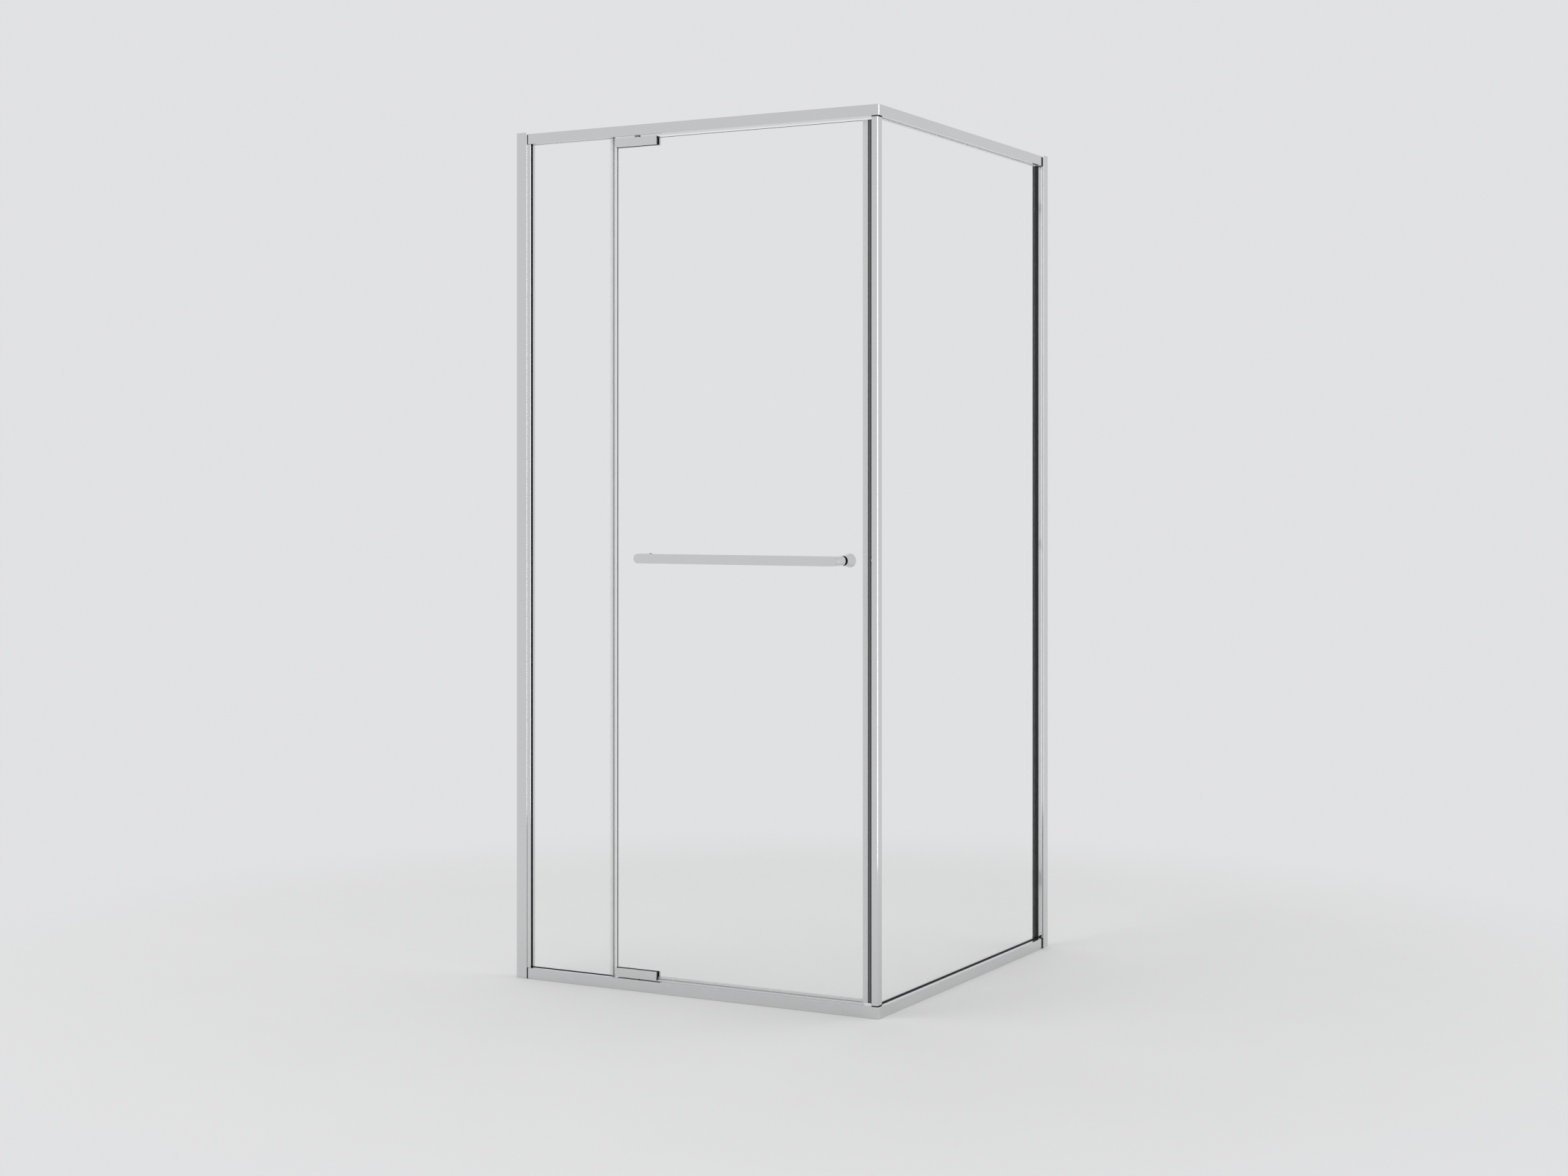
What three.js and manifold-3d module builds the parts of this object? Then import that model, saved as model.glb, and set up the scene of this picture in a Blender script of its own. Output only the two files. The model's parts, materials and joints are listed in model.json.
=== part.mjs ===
// Corner shower screen with a pivot door, in millimetres.
// The plan starts where the left wall meets the outer face of the front run. +X runs along the front to
// the free corner, +Y runs from the front into the room, and +Z is up from the floor.

import * as THREE from "three";
import { mergeVertices } from "three/addons/utils/BufferGeometryUtils.js";
import Module from "manifold-3d";

// Driving sizes of the whole screen
const overallWidth = 910;
const overallDepth = 918;
const railTop = 1900;
const jambRise = 3.5;
const frameDepth = 30;
const glassThickness = 6;

// Clearances, and the overrun of every cutting tool
const seatGap = 0.3;
const slipGap = 0.2;
const runningGap = 0.1;
const cutOverrun = 2;

// Head rails and sills: one grooved hollow section in two heights, short of each wall
const frontRailGap = 30.3;
const sideRailGap = 40.5;
const headHeight = 23;
const sillHeight = 25;
const railWall = 1.6;
const grooveWidth = 14;
const grooveDepth = 15;
const railEdgeRadius = 0.9;
const cornerRadius = 2.6;
const mitreGap = 0.12;

// Corner keys inside the mitred rails
const keyLegLength = 42;

// Infill strips that close the rails' grooves at the door
const infillWall = 1.5;
const infillLegDepth = 11;

// Wall jambs and the glazing channels that slide in them
const jambWidth = 27;
const jambWall = 1.6;
const jambEdgeRadius = 0.6;
const channelFromWall = 8;
const channelLength = 28;
const channelWall = 1.6;
const channelPlay = 0.4;
const shortFlangeInset = 5;
const turnedLipGap = 0.6;
const wallHoleRadius = 2.75;
const wallHoleInset = 150;
const endBlockInset = 1;

// Screws that hold the channels in the jambs, on the room side
const channelScrewFromWall = 21;
const channelScrewInset = 150;
const channelScrewRadius = 2;
const channelScrewLength = 6;
const panHeadRadius = 3.8;
const panHeadHeight = 2.2;

// Glass set in the frame
const glassBite = 11;
const channelBite = 13;
const postBite = 14.7;

// Gaskets
const gasketFit = 0.1;
const gasketHeadDepth = 9;
const gasketBaseWidth = 11;
const gasketSeat = 9;
const gasketEdgeRadius = 1;
const sideGasketProud = 0.4;
const gasketBed = 3.5;
const postPadGap = 1.8;
const postPadLap = 2;

// Corner post
const postWidth = 15;
const postDepth = 20;
const postFrontCover = 8;
const postWall = 1.6;
const postPlay = 0.4;
const postEdgeRadius = 1.4;

// Door leaf
const doorGlassWidth = 617.5;
const closingGap = 13;
const inlineGap = 9.8;
const doorHeadClearance = 6.4;
const doorSillClearance = 4.4;

// Seals on the glass edges
const sealWall = 0.9;
const inlineSealGrip = 8;
const inlineFinGap = 1.5;
const dripSealGrip = 6.5;
const dripFinWidth = 1.4;
const strikeGrip = 10;
const strikeWall = 1.4;
const strikeWeb = 2.1;
const doorMagnetWidth = 3.1;
const magnetDepth = 8.8;
const magnetGap = 0.4;
const magnetEdgeRadius = 0.7;

// Pivot blocks
const pivotBlockLength = 106;
const pivotBlockHeight = 19;
const pivotInset = 52;
const blockHeadClearance = 3.7;
const blockSillClearance = 2;
const frontPlateThickness = 2.5;
const backPlateThickness = 6.6;
const frontLining = 5.25;
const backLining = 1.15;
const plateEdgeRadius = 0.8;
const notchWidth = 60;
const notchDepth = 12;
const pinRadius = 4;
const pinInBlock = 11;
const pinInRail = 12;
const bushWall = 1.1;
const bushFlangeReach = 1.4;
const bushFlangeThickness = 1.4;
const bushLength = 13.5;
const clampScrewInset = 10;
const clampScrewRadius = 2;
const clampScrewLength = 17.5;
const clampHeadRadius = 3.8;
const clampHeadHeight = 2;
const plateBossRadius = 4;
const plateBossLength = 3.2;

// Towel-bar handle
const handleHeight = 950;
const handleHingeInset = 72.5;
const handleClosingInset = 49;
const barHeight = 21;
const barThickness = 12;
const barBevel = 0.9;
const barStandOff = 48;
const spigotRadius = 4;
const spigotLength = 6;
const studRadius = 3;
const glassHoleRadius = 7;
const frontWasherThickness = 2.7;
const backWasherThickness = 2;
const knobRadius = 15.3;
const knobLength = 29.5;
const knobEdgeRadius = 0.8;
const knobBoreDepth = 18;
const capNutRadius = 9.5;
const capNutLength = 6;
const capNutBoreDepth = 4;
const turnedEdge = 0.5;

// Numbers of steps in round shapes
const cornerSteps = 3;
const bevelSteps = 2;
const roundSteps = 24;
const screwSteps = 12;

// Places that follow from the sizes above
const glassFront = (frameDepth - glassThickness) / 2;
const glassBack = glassFront + glassThickness;
const centreLine = frameDepth / 2;
const headFace = railTop - headHeight;
const sillFace = sillHeight;
const sideRailStart = overallWidth - overallDepth + sideRailGap;
const grooveFront = (frameDepth - grooveWidth) / 2;
const grooveBack = grooveFront + grooveWidth;
const channelMouth = channelFromWall + channelLength;
const channelFront = jambWall + channelPlay;
const channelBack = frameDepth - channelFront;
const jambHeight = railTop + jambRise;
const shortFlangeMouth = channelMouth - shortFlangeInset;
const fixedGlassLeft = channelMouth - channelBite;
const glassLow = sillFace - glassBite;
const glassHigh = headFace + glassBite;
const postFront = glassFront - postFrontCover;
const postBack = postFront + postDepth;
const postLeft = overallWidth - glassBack - postPlay - postWall;
const postRight = postLeft + postWidth;
const postLow = sillFace + postPadGap;
const postHigh = headFace - postPadGap;
const sideGlassStart = postBack - postBite;
const doorGlassRight = postLeft - closingGap;
const doorGlassLeft = doorGlassRight - doorGlassWidth;
const fixedGlassRight = doorGlassLeft - inlineGap;
const doorGlassLow = sillFace + doorSillClearance;
const doorGlassHigh = headFace - doorHeadClearance;
const pivotX = doorGlassLeft + pivotInset;
const blockFront = glassFront - frontLining - frontPlateThickness;
const blockBack = glassBack + backLining + backPlateThickness;
const barFront = glassFront - barStandOff;
const postAxisLeft = doorGlassLeft + handleHingeInset + barHeight / 2;
const postAxisRight = doorGlassRight - handleClosingInset - barHeight / 2;
const washerFront = glassFront - gasketFit - frontWasherThickness;
const backWasherFront = glassBack + gasketFit;
const knobFront = backWasherFront + backWasherThickness + gasketFit;

const wasm = await Module();
wasm.setup();

// Solid of a closed geometry, ready for cutting and joining
function toSolid(geometry) {
  const bare = geometry.clone();
  bare.deleteAttribute("normal");
  bare.deleteAttribute("uv");
  const merged = mergeVertices(bare);
  return new wasm.Manifold(new wasm.Mesh({
    numProp: 3,
    vertProperties: new Float32Array(merged.attributes.position.array),
    triVerts: new Uint32Array(merged.index.array),
  }));
}

function toGeometry(solid) {
  const mesh = solid.getMesh();
  const geometry = new THREE.BufferGeometry();
  geometry.setAttribute("position", new THREE.BufferAttribute(mesh.vertProperties, mesh.numProp));
  geometry.setIndex(new THREE.BufferAttribute(mesh.triVerts, 1));
  geometry.computeVertexNormals();
  return geometry;
}

function cut(geometry, ...tools) {
  const left = tools.reduce((solid, tool) => solid.subtract(toSolid(tool)), toSolid(geometry));
  return toGeometry(left);
}

function join(geometry, ...others) {
  const whole = others.reduce((solid, other) => solid.add(toSolid(other)), toSolid(geometry));
  return toGeometry(whole);
}

function common(geometry, other) {
  return toGeometry(toSolid(geometry).intersect(toSolid(other)));
}

// Points of a corner rounded by an arc between its two edges
function cornerArc(before, corner, after, radius) {
  const towardsBefore = before.clone().sub(corner).normalize();
  const towardsAfter = after.clone().sub(corner).normalize();
  const halfAngle = Math.acos(towardsBefore.dot(towardsAfter)) / 2;
  const bisector = towardsBefore.clone().add(towardsAfter).normalize();
  const centre = corner.clone().addScaledVector(bisector, radius / Math.sin(halfAngle));
  const tangent = radius / Math.tan(halfAngle);
  const start = corner.clone().addScaledVector(towardsBefore, tangent).sub(centre);
  const end = corner.clone().addScaledVector(towardsAfter, tangent).sub(centre);
  const sweep = Math.atan2(start.cross(end), start.dot(end));
  const points = [];
  for (let step = 0; step <= cornerSteps; step += 1) {
    const turned = start.clone().rotateAround(new THREE.Vector2(), (sweep * step) / cornerSteps);
    points.push(turned.add(centre));
  }
  return points;
}

// Outline from corners [a, b] or [a, b, radius]
function outline(corners) {
  const flat = corners.map(([a, b]) => new THREE.Vector2(a, b));
  const count = corners.length;
  return corners.flatMap((corner, index) => {
    const radius = corner[2] ?? 0;
    if (radius === 0) {
      return [flat[index]];
    }
    return cornerArc(flat[(index + count - 1) % count], flat[index], flat[(index + 1) % count], radius);
  });
}

// Upright prism over a plan outline, with upright holes
function prism(corners, low, high, holes = []) {
  const shape = new THREE.Shape(outline(corners));
  shape.holes = holes.map((hole) => new THREE.Path(outline(hole)));
  const geometry = new THREE.ExtrudeGeometry(shape, { depth: high - low, bevelEnabled: false });
  return geometry.translate(0, 0, low);
}

// Bar along X over a section drawn in Y and Z
function barAlongX(corners, start, end, holes = []) {
  const turn = new THREE.Matrix4().makeBasis(
    new THREE.Vector3(0, 1, 0),
    new THREE.Vector3(0, 0, 1),
    new THREE.Vector3(1, 0, 0),
  );
  return prism(corners, start, end, holes).applyMatrix4(turn);
}

// Stands an upright shape on edge, so that its foot lies at the far place along Y and it rises to the front
function facingFront(geometry, far) {
  return geometry.rotateX(Math.PI / 2).translate(0, far, 0);
}

function block(x0, x1, y0, y1, z0, z1) {
  const size = [x1 - x0, y1 - y0, z1 - z0];
  return new THREE.BoxGeometry(...size).translate((x0 + x1) / 2, (y0 + y1) / 2, (z0 + z1) / 2);
}

// Turned piece about an axis along Y, from [radius, place along Y] pairs
function turnedAlongY(profile, steps = roundSteps) {
  const points = profile.map(([radius, place]) => new THREE.Vector2(radius, place));
  return new THREE.LatheGeometry(points, steps);
}

function turnedUpright(profile) {
  return turnedAlongY(profile).rotateX(Math.PI / 2);
}

function rodAlongY(radius, start, end, steps = roundSteps) {
  return turnedAlongY([[0, start], [radius, start], [radius, end], [0, end]], steps);
}

// Side run's image of a front run's piece, whose distance from the left wall becomes one from the far end
function mirrored(geometry, farEnd) {
  const swap = new THREE.Matrix4().set(
    0, -1, 0, overallWidth,
    -1, 0, 0, farEnd,
    0, 0, 1, 0,
    0, 0, 0, 1,
  );
  const image = mergeVertices(geometry).applyMatrix4(swap);
  const corners = image.index.array;
  for (let face = 0; face < corners.length; face += 3) {
    [corners[face], corners[face + 1]] = [corners[face + 1], corners[face]];
  }
  return image;
}

function mirroredFromWall(geometry) {
  return mirrored(geometry, overallDepth);
}

function mirroredFromCorner(geometry) {
  return mirrored(geometry, overallWidth);
}

// Finishes
const chrome = () => new THREE.MeshStandardMaterial({ color: 0xdbdcde, roughness: 0.08, metalness: 1 });
const steel = () => new THREE.MeshStandardMaterial({ color: 0xb9bbbd, roughness: 0.25, metalness: 1 });
const keyMetal = () => new THREE.MeshStandardMaterial({ color: 0xa8aaac, roughness: 0.5, metalness: 1 });
const clearGlass = () => new THREE.MeshStandardMaterial({
  color: 0xe4efea,
  roughness: 0.02,
  metalness: 0,
  transparent: true,
  opacity: 0.25,
});
const blackRubber = () => new THREE.MeshStandardMaterial({ color: 0x0b0b0b, roughness: 0.55, metalness: 0 });
const blackNylon = () => new THREE.MeshStandardMaterial({ color: 0x101010, roughness: 0.4, metalness: 0 });
const greyVinyl = () => new THREE.MeshStandardMaterial({ color: 0xbfc1c3, roughness: 0.3, metalness: 0 });
const clearVinyl = () => new THREE.MeshStandardMaterial({
  color: 0xe3e4ea,
  roughness: 0.15,
  metalness: 0,
  transparent: true,
  opacity: 0.4,
});
const paleNylon = () => new THREE.MeshStandardMaterial({ color: 0xd8d8d6, roughness: 0.45, metalness: 0 });

function named(name, geometry, material) {
  const mesh = new THREE.Mesh(geometry, material);
  mesh.name = name;
  return mesh;
}

// Section of a rail, with its groove open at the top, drawn across the frame's depth
function railSection(height) {
  return [
    [0, 0, railEdgeRadius],
    [frameDepth, 0, railEdgeRadius],
    [frameDepth, height, railEdgeRadius],
    [grooveBack, height],
    [grooveBack, height - grooveDepth],
    [grooveFront, height - grooveDepth],
    [grooveFront, height],
    [0, height, railEdgeRadius],
  ];
}

// Hollow that runs round the groove inside the rail
function railHollow(height) {
  const low = railWall;
  const high = height - railWall;
  const underGroove = height - grooveDepth - railWall;
  return [
    [railWall, low],
    [railWall, high],
    [grooveFront - railWall, high],
    [grooveFront - railWall, underGroove],
    [grooveBack + railWall, underGroove],
    [grooveBack + railWall, high],
    [frameDepth - railWall, high],
    [frameDepth - railWall, low],
  ];
}

// Plan outline of a rail: square at the wall end, rounded and mitred at the corner
function railPlan(start) {
  const middle = overallWidth - cornerRadius * (1 - Math.SQRT1_2) - mitreGap;
  const arc = [];
  for (let step = 0; step <= cornerSteps; step += 1) {
    const angle = (Math.PI / 4) * (step / cornerSteps);
    const along = overallWidth - cornerRadius + cornerRadius * Math.sin(angle);
    arc.push([Math.min(along, middle), cornerRadius * (1 - Math.cos(angle))]);
  }
  return [
    [start - cutOverrun, -cutOverrun],
    [overallWidth - cornerRadius, -cutOverrun],
    ...arc,
    [overallWidth - frameDepth - cutOverrun - mitreGap, frameDepth + cutOverrun],
    [start - cutOverrun, frameDepth + cutOverrun],
  ];
}

function squareRail(start, height) {
  return barAlongX(railSection(height), start, overallWidth, [railHollow(height)]);
}

function sillRail(start) {
  return common(squareRail(start, sillHeight), prism(railPlan(start), -cutOverrun, sillHeight + cutOverrun));
}

// The head rail is the same kind of section upside down
function headRail(start) {
  const turned = squareRail(start, headHeight).rotateX(Math.PI).translate(0, frameDepth, railTop);
  return common(turned, prism(railPlan(start), headFace - cutOverrun, railTop + cutOverrun));
}

// Key with one leg in each rail's outer hollow
function cornerKey(low, high) {
  const outer = railWall + seatGap;
  const inner = grooveFront - railWall - seatGap;
  return prism([
    [overallWidth - keyLegLength, outer],
    [overallWidth - outer, outer, railWall],
    [overallWidth - outer, keyLegLength],
    [overallWidth - inner, keyLegLength],
    [overallWidth - inner, inner],
    [overallWidth - keyLegLength, inner],
  ], low, high);
}

// Clip-in strip with its face flush with the rail, and its hole for the pivot bush
function infill(face, inward) {
  const front = grooveFront + slipGap;
  const back = grooveBack - slipGap;
  const web = face + inward * infillWall;
  const foot = face + inward * infillLegDepth;
  const strip = barAlongX([
    [front, face],
    [back, face],
    [back, foot],
    [back - infillWall, foot],
    [back - infillWall, web],
    [front + infillWall, web],
    [front + infillWall, foot],
    [front, foot],
  ], fixedGlassRight + seatGap, postLeft - seatGap);
  return cut(strip, pivotBore(face, pinRadius + runningGap + bushWall + slipGap));
}

function pivotBore(face, radius) {
  const reach = infillLegDepth + bushFlangeThickness;
  return turnedUpright([[0, -reach], [radius, -reach], [radius, reach], [0, reach]])
    .translate(pivotX, centreLine, face);
}

// Wall jamb against the left wall, with its holes for wall screws and for the channel screws
function wallJamb() {
  const section = [
    [0, 0],
    [jambWidth, 0, jambEdgeRadius],
    [jambWidth, jambWall],
    [jambWall, jambWall],
    [jambWall, frameDepth - jambWall],
    [jambWidth, frameDepth - jambWall],
    [jambWidth, frameDepth, jambEdgeRadius],
    [0, frameDepth],
  ];
  const wallHoles = [wallHoleInset, jambHeight / 2, jambHeight - wallHoleInset].map((height) =>
    rodAlongY(wallHoleRadius, -cutOverrun, jambWall + cutOverrun, screwSteps)
      .rotateZ(-Math.PI / 2)
      .translate(0, centreLine, height));
  const screwHoles = channelScrewHoles(slipGap);
  return cut(prism(section, 0, jambHeight), ...wallHoles, ...screwHoles);
}

function channelScrewHeights() {
  return [channelScrewInset, railTop - channelScrewInset];
}

function channelScrewHoles(clearance) {
  const start = channelBack - channelWall - cutOverrun;
  return channelScrewHeights().map((height) =>
    rodAlongY(channelScrewRadius + clearance, start, frameDepth + cutOverrun, screwSteps)
      .translate(channelScrewFromWall, 0, height));
}

// The wedge lies on the outer side of the front run's glass and on the inner side of the side run's
const wedgeOutside = (corners) => corners;
const wedgeInside = (corners) =>
  corners.map(([along, across, radius]) => [along, frameDepth - across, radius]);

// Channel round the glass edge, with a full flange over the wedge and a short one whose lip turns in
function glazingChannel(placed) {
  const web = channelFromWall + channelWall;
  const lipEnd = glassBack + turnedLipGap;
  const section = [
    [channelFromWall, channelFront],
    [channelMouth, channelFront, jambEdgeRadius],
    [channelMouth, channelFront + channelWall],
    [web, channelFront + channelWall],
    [web, channelBack - channelWall],
    [shortFlangeMouth - channelWall, channelBack - channelWall],
    [shortFlangeMouth - channelWall, lipEnd],
    [shortFlangeMouth, lipEnd],
    [shortFlangeMouth, channelBack, jambEdgeRadius],
    [channelFromWall, channelBack],
  ];
  const body = prism(placed(section), sillFace + seatGap, headFace - seatGap);
  return cut(body, ...channelScrewHoles(runningGap));
}

function channelScrew(height) {
  const seat = frameDepth + runningGap;
  const tip = frameDepth - channelScrewLength;
  const crown = seat + panHeadHeight;
  return turnedAlongY([
    [0, tip],
    [channelScrewRadius - turnedEdge, tip],
    [channelScrewRadius, tip + turnedEdge],
    [channelScrewRadius, seat],
    [panHeadRadius, seat],
    [panHeadRadius, crown - turnedEdge],
    [panHeadRadius - turnedEdge, crown],
    [0, crown],
  ], screwSteps).translate(channelScrewFromWall, 0, height);
}

// Black block between the wall and a rail's end, slotted for the glass corner
function endBlock(end, low, high, slotLow, slotHigh) {
  const body = block(jambWall + channelPlay, end - seatGap, channelFront, channelBack, low, high);
  const slot = block(
    fixedGlassLeft - seatGap,
    end + cutOverrun,
    glassFront - seatGap,
    glassBack + seatGap,
    slotLow,
    slotHigh,
  );
  return cut(body, slot);
}

// Upright gasket that cups the glass edge, with its wedge on one side and a thin leg on the other
function uprightGasket(placed) {
  const headEnd = channelMouth - gasketHeadDepth;
  const baseEnd = fixedGlassLeft - gasketSeat;
  const legEnd = shortFlangeMouth - channelWall - slipGap;
  const headFront = channelFront + channelWall + slipGap;
  const baseFront = centreLine - gasketBaseWidth / 2;
  const baseBack = centreLine + gasketBaseWidth / 2;
  return prism(placed([
    [baseEnd, baseFront],
    [headEnd, baseFront],
    [headEnd, headFront],
    [channelMouth, headFront, gasketEdgeRadius],
    [channelMouth, glassFront - gasketFit],
    [fixedGlassLeft - slipGap, glassFront - gasketFit],
    [fixedGlassLeft - slipGap, glassBack + gasketFit],
    [legEnd, glassBack + gasketFit],
    [legEnd, baseBack],
    [baseEnd, baseBack],
  ]), sillFace + seatGap, headFace - seatGap);
}

// Section of a gasket in a rail's groove. Face is the rail's face and inward points into the groove
function grooveGasketSection(face, inward, proud) {
  const top = face - inward * proud;
  const bed = face + inward * (glassBite + slipGap);
  const bottom = face + inward * (glassBite + gasketBed);
  return [
    [grooveFront + slipGap, bottom],
    [grooveBack - slipGap, bottom],
    [grooveBack - slipGap, top],
    [glassBack + gasketFit, top],
    [glassBack + gasketFit, bed],
    [glassFront - gasketFit, bed],
    [glassFront - gasketFit, top],
    [grooveFront + slipGap, top],
  ];
}

function fixedGlassGasket(face, inward) {
  return barAlongX(grooveGasketSection(face, inward, 0), frontRailGap + seatGap, fixedGlassRight);
}

// Gasket of the side run, drawn in the front run's place, with the thin pad that lies at the post's end
function sideGasket(face, inward) {
  const postSide = overallWidth - postBack - seatGap;
  const section = grooveGasketSection(face, inward, sideGasketProud);
  const lips = barAlongX(section, sideRailStart + seatGap, postSide);
  const padNear = face - inward * slipGap;
  const padFar = face - inward * (postPadGap - slipGap);
  const padBody = block(
    postSide - postPadLap,
    overallWidth - postFront - seatGap,
    overallWidth - postRight + seatGap,
    overallWidth - postLeft - seatGap,
    Math.min(padNear, padFar),
    Math.max(padNear, padFar),
  );
  const glassSlot = block(
    postSide - postPadLap - cutOverrun,
    overallWidth - sideGlassStart + seatGap,
    glassFront - gasketFit,
    glassBack + gasketFit,
    Math.min(padNear, padFar) - cutOverrun,
    Math.max(padNear, padFar) + cutOverrun,
  );
  return join(lips, cut(padBody, glassSlot));
}

function cornerPost() {
  return prism([
    [postLeft, postFront, postEdgeRadius],
    [postRight, postFront, postEdgeRadius],
    [postRight, postBack],
    [postRight - postWall, postBack],
    [postRight - postWall, postFront + postWall],
    [postLeft + postWall, postFront + postWall],
    [postLeft + postWall, postBack],
    [postLeft, postBack],
  ], postLow, postHigh);
}

// Gasket between the side glass and the post's outer leg
function postGasket() {
  const outer = postRight - postWall - slipGap;
  const glassOuter = overallWidth - glassFront + gasketFit;
  const near = postFront + postWall + slipGap;
  return prism([
    [postLeft + postWall + slipGap, near],
    [outer, near],
    [outer, postBack],
    [glassOuter, postBack],
    [glassOuter, sideGlassStart - slipGap],
    [postLeft + postWall + slipGap, sideGlassStart - slipGap],
  ], postLow, postHigh);
}

function fixedGlass() {
  return block(fixedGlassLeft, fixedGlassRight, glassFront, glassBack, glassLow, glassHigh);
}

// Side glass as it lies before its run is mirrored from the wall
function sideGlass() {
  const end = overallDepth - sideGlassStart;
  return block(fixedGlassLeft, end, glassFront, glassBack, glassLow, glassHigh);
}

// Clear clip on the fixed glass with a fin that bridges the gap to the door
function inlineSeal() {
  const grip = fixedGlassRight - inlineSealGrip;
  const inside = fixedGlassRight + gasketFit;
  const web = inside + sealWall;
  const finEnd = doorGlassLeft - inlineFinGap;
  const front = glassFront - gasketFit;
  const back = glassBack + gasketFit;
  return prism([
    [grip, front - sealWall],
    [finEnd, front - sealWall],
    [finEnd, front],
    [web, front],
    [web, back + sealWall],
    [grip, back + sealWall],
    [grip, back],
    [inside, back],
    [inside, front],
    [grip, front],
  ], sillFace + seatGap, headFace - seatGap);
}

function magnetFront() {
  return centreLine - magnetDepth / 2;
}

function magnetBack() {
  return centreLine + magnetDepth / 2;
}

// Magnetic strip on the post, facing the door's
function postMagnet() {
  const left = strikeFace() + slipGap + doorMagnetWidth + magnetGap;
  const right = postLeft - slipGap;
  return prism([
    [left, magnetFront(), magnetEdgeRadius],
    [right, magnetFront()],
    [right, magnetBack()],
    [left, magnetBack(), magnetEdgeRadius],
  ], doorGlassLow, doorGlassHigh);
}

function strikeFace() {
  return doorGlassRight + gasketFit + strikeWeb;
}

// Grey seal carrier on the door's closing edge
function strikeStrip() {
  const grip = doorGlassRight - strikeGrip;
  const inside = doorGlassRight + gasketFit;
  const front = glassFront - gasketFit;
  const back = glassBack + gasketFit;
  return prism([
    [grip, front - strikeWall],
    [strikeFace(), front - strikeWall],
    [strikeFace(), back + strikeWall],
    [grip, back + strikeWall],
    [grip, back],
    [inside, back],
    [inside, front],
    [grip, front],
  ], doorGlassLow, doorGlassHigh);
}

function doorMagnet() {
  const left = strikeFace() + slipGap;
  const right = left + doorMagnetWidth;
  return prism([
    [left, magnetFront(), magnetEdgeRadius],
    [right, magnetFront(), magnetEdgeRadius],
    [right, magnetBack(), magnetEdgeRadius],
    [left, magnetBack(), magnetEdgeRadius],
  ], doorGlassLow, doorGlassHigh);
}

// Clear clip under the door with a fin that hangs to the sill
function dripSeal() {
  const under = doorGlassLow - gasketFit;
  const web = under - sealWall;
  const top = under + dripSealGrip;
  const front = glassFront - gasketFit;
  const back = glassBack + gasketFit;
  return barAlongX([
    [front - sealWall, web],
    [back - dripFinWidth, web],
    [back, sillFace + seatGap],
    [back + dripFinWidth, sillFace + seatGap],
    [back + sealWall, web],
    [back + sealWall, top],
    [back, top],
    [back, under],
    [front, under],
    [front, top],
    [front - sealWall, top],
  ], doorGlassLeft + pivotBlockLength + seatGap, doorGlassRight - strikeGrip - seatGap);
}

// Notch in the glass for a pivot, open at the glass edge. Inward points from that edge into the glass
function glassNotch(edge, inward, shrink) {
  const outside = edge - inward * cutOverrun;
  const inside = edge + inward * (notchDepth - shrink);
  return block(
    pivotX - notchWidth / 2 + shrink,
    pivotX + notchWidth / 2 - shrink,
    glassFront - cutOverrun,
    glassBack + cutOverrun,
    Math.min(outside, inside),
    Math.max(outside, inside),
  );
}

function doorGlass() {
  const pane = block(doorGlassLeft, doorGlassRight, glassFront, glassBack, doorGlassLow, doorGlassHigh);
  const holes = [postAxisLeft, postAxisRight].map((place) =>
    rodAlongY(glassHoleRadius, glassFront - cutOverrun, glassBack + cutOverrun)
      .translate(place, 0, handleHeight));
  return cut(pane, glassNotch(doorGlassLow, 1, 0), glassNotch(doorGlassHigh, -1, 0), ...holes);
}

// A pivot at one end of the door: face is the rail's face and inward points from it into the door
const sillPivot = { face: sillFace, inward: 1, clearance: blockSillClearance, edge: doorGlassLow };
const headPivot = { face: headFace, inward: -1, clearance: blockHeadClearance, edge: doorGlassHigh };

function blockLow(pivot) {
  const near = pivot.face + pivot.inward * pivot.clearance;
  return Math.min(near, near + pivot.inward * pivotBlockHeight);
}

function clampScrewPlaces() {
  const reach = notchWidth / 2 - clampScrewInset;
  return [pivotX - reach, pivotX + reach];
}

function clampScrewHeight(pivot) {
  return pivot.edge + pivot.inward * (notchDepth / 2);
}

function plateOutline(low, high) {
  const right = doorGlassLeft + pivotBlockLength;
  return [
    [doorGlassLeft, low, plateEdgeRadius],
    [right, low, plateEdgeRadius],
    [right, high, plateEdgeRadius],
    [doorGlassLeft, high, plateEdgeRadius],
  ];
}

function slabFacingFront(corners, near, far) {
  return facingFront(prism(corners, 0, far - near), far);
}

// Chrome front plate with tapped bosses behind it
function frontPlate(pivot) {
  const low = blockLow(pivot);
  const rear = blockFront + frontPlateThickness;
  const plate = slabFacingFront(plateOutline(low, low + pivotBlockHeight), blockFront, rear);
  const height = clampScrewHeight(pivot);
  const bosses = clampScrewPlaces().map((place) =>
    rodAlongY(plateBossRadius, blockFront + frontPlateThickness / 2, rear + plateBossLength, screwSteps)
      .translate(place, 0, height));
  const bores = clampScrewPlaces().map((place) =>
    rodAlongY(clampScrewRadius + runningGap, rear, rear + plateBossLength + cutOverrun, screwSteps)
      .translate(place, 0, height));
  return cut(join(plate, ...bosses), ...bores);
}

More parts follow.
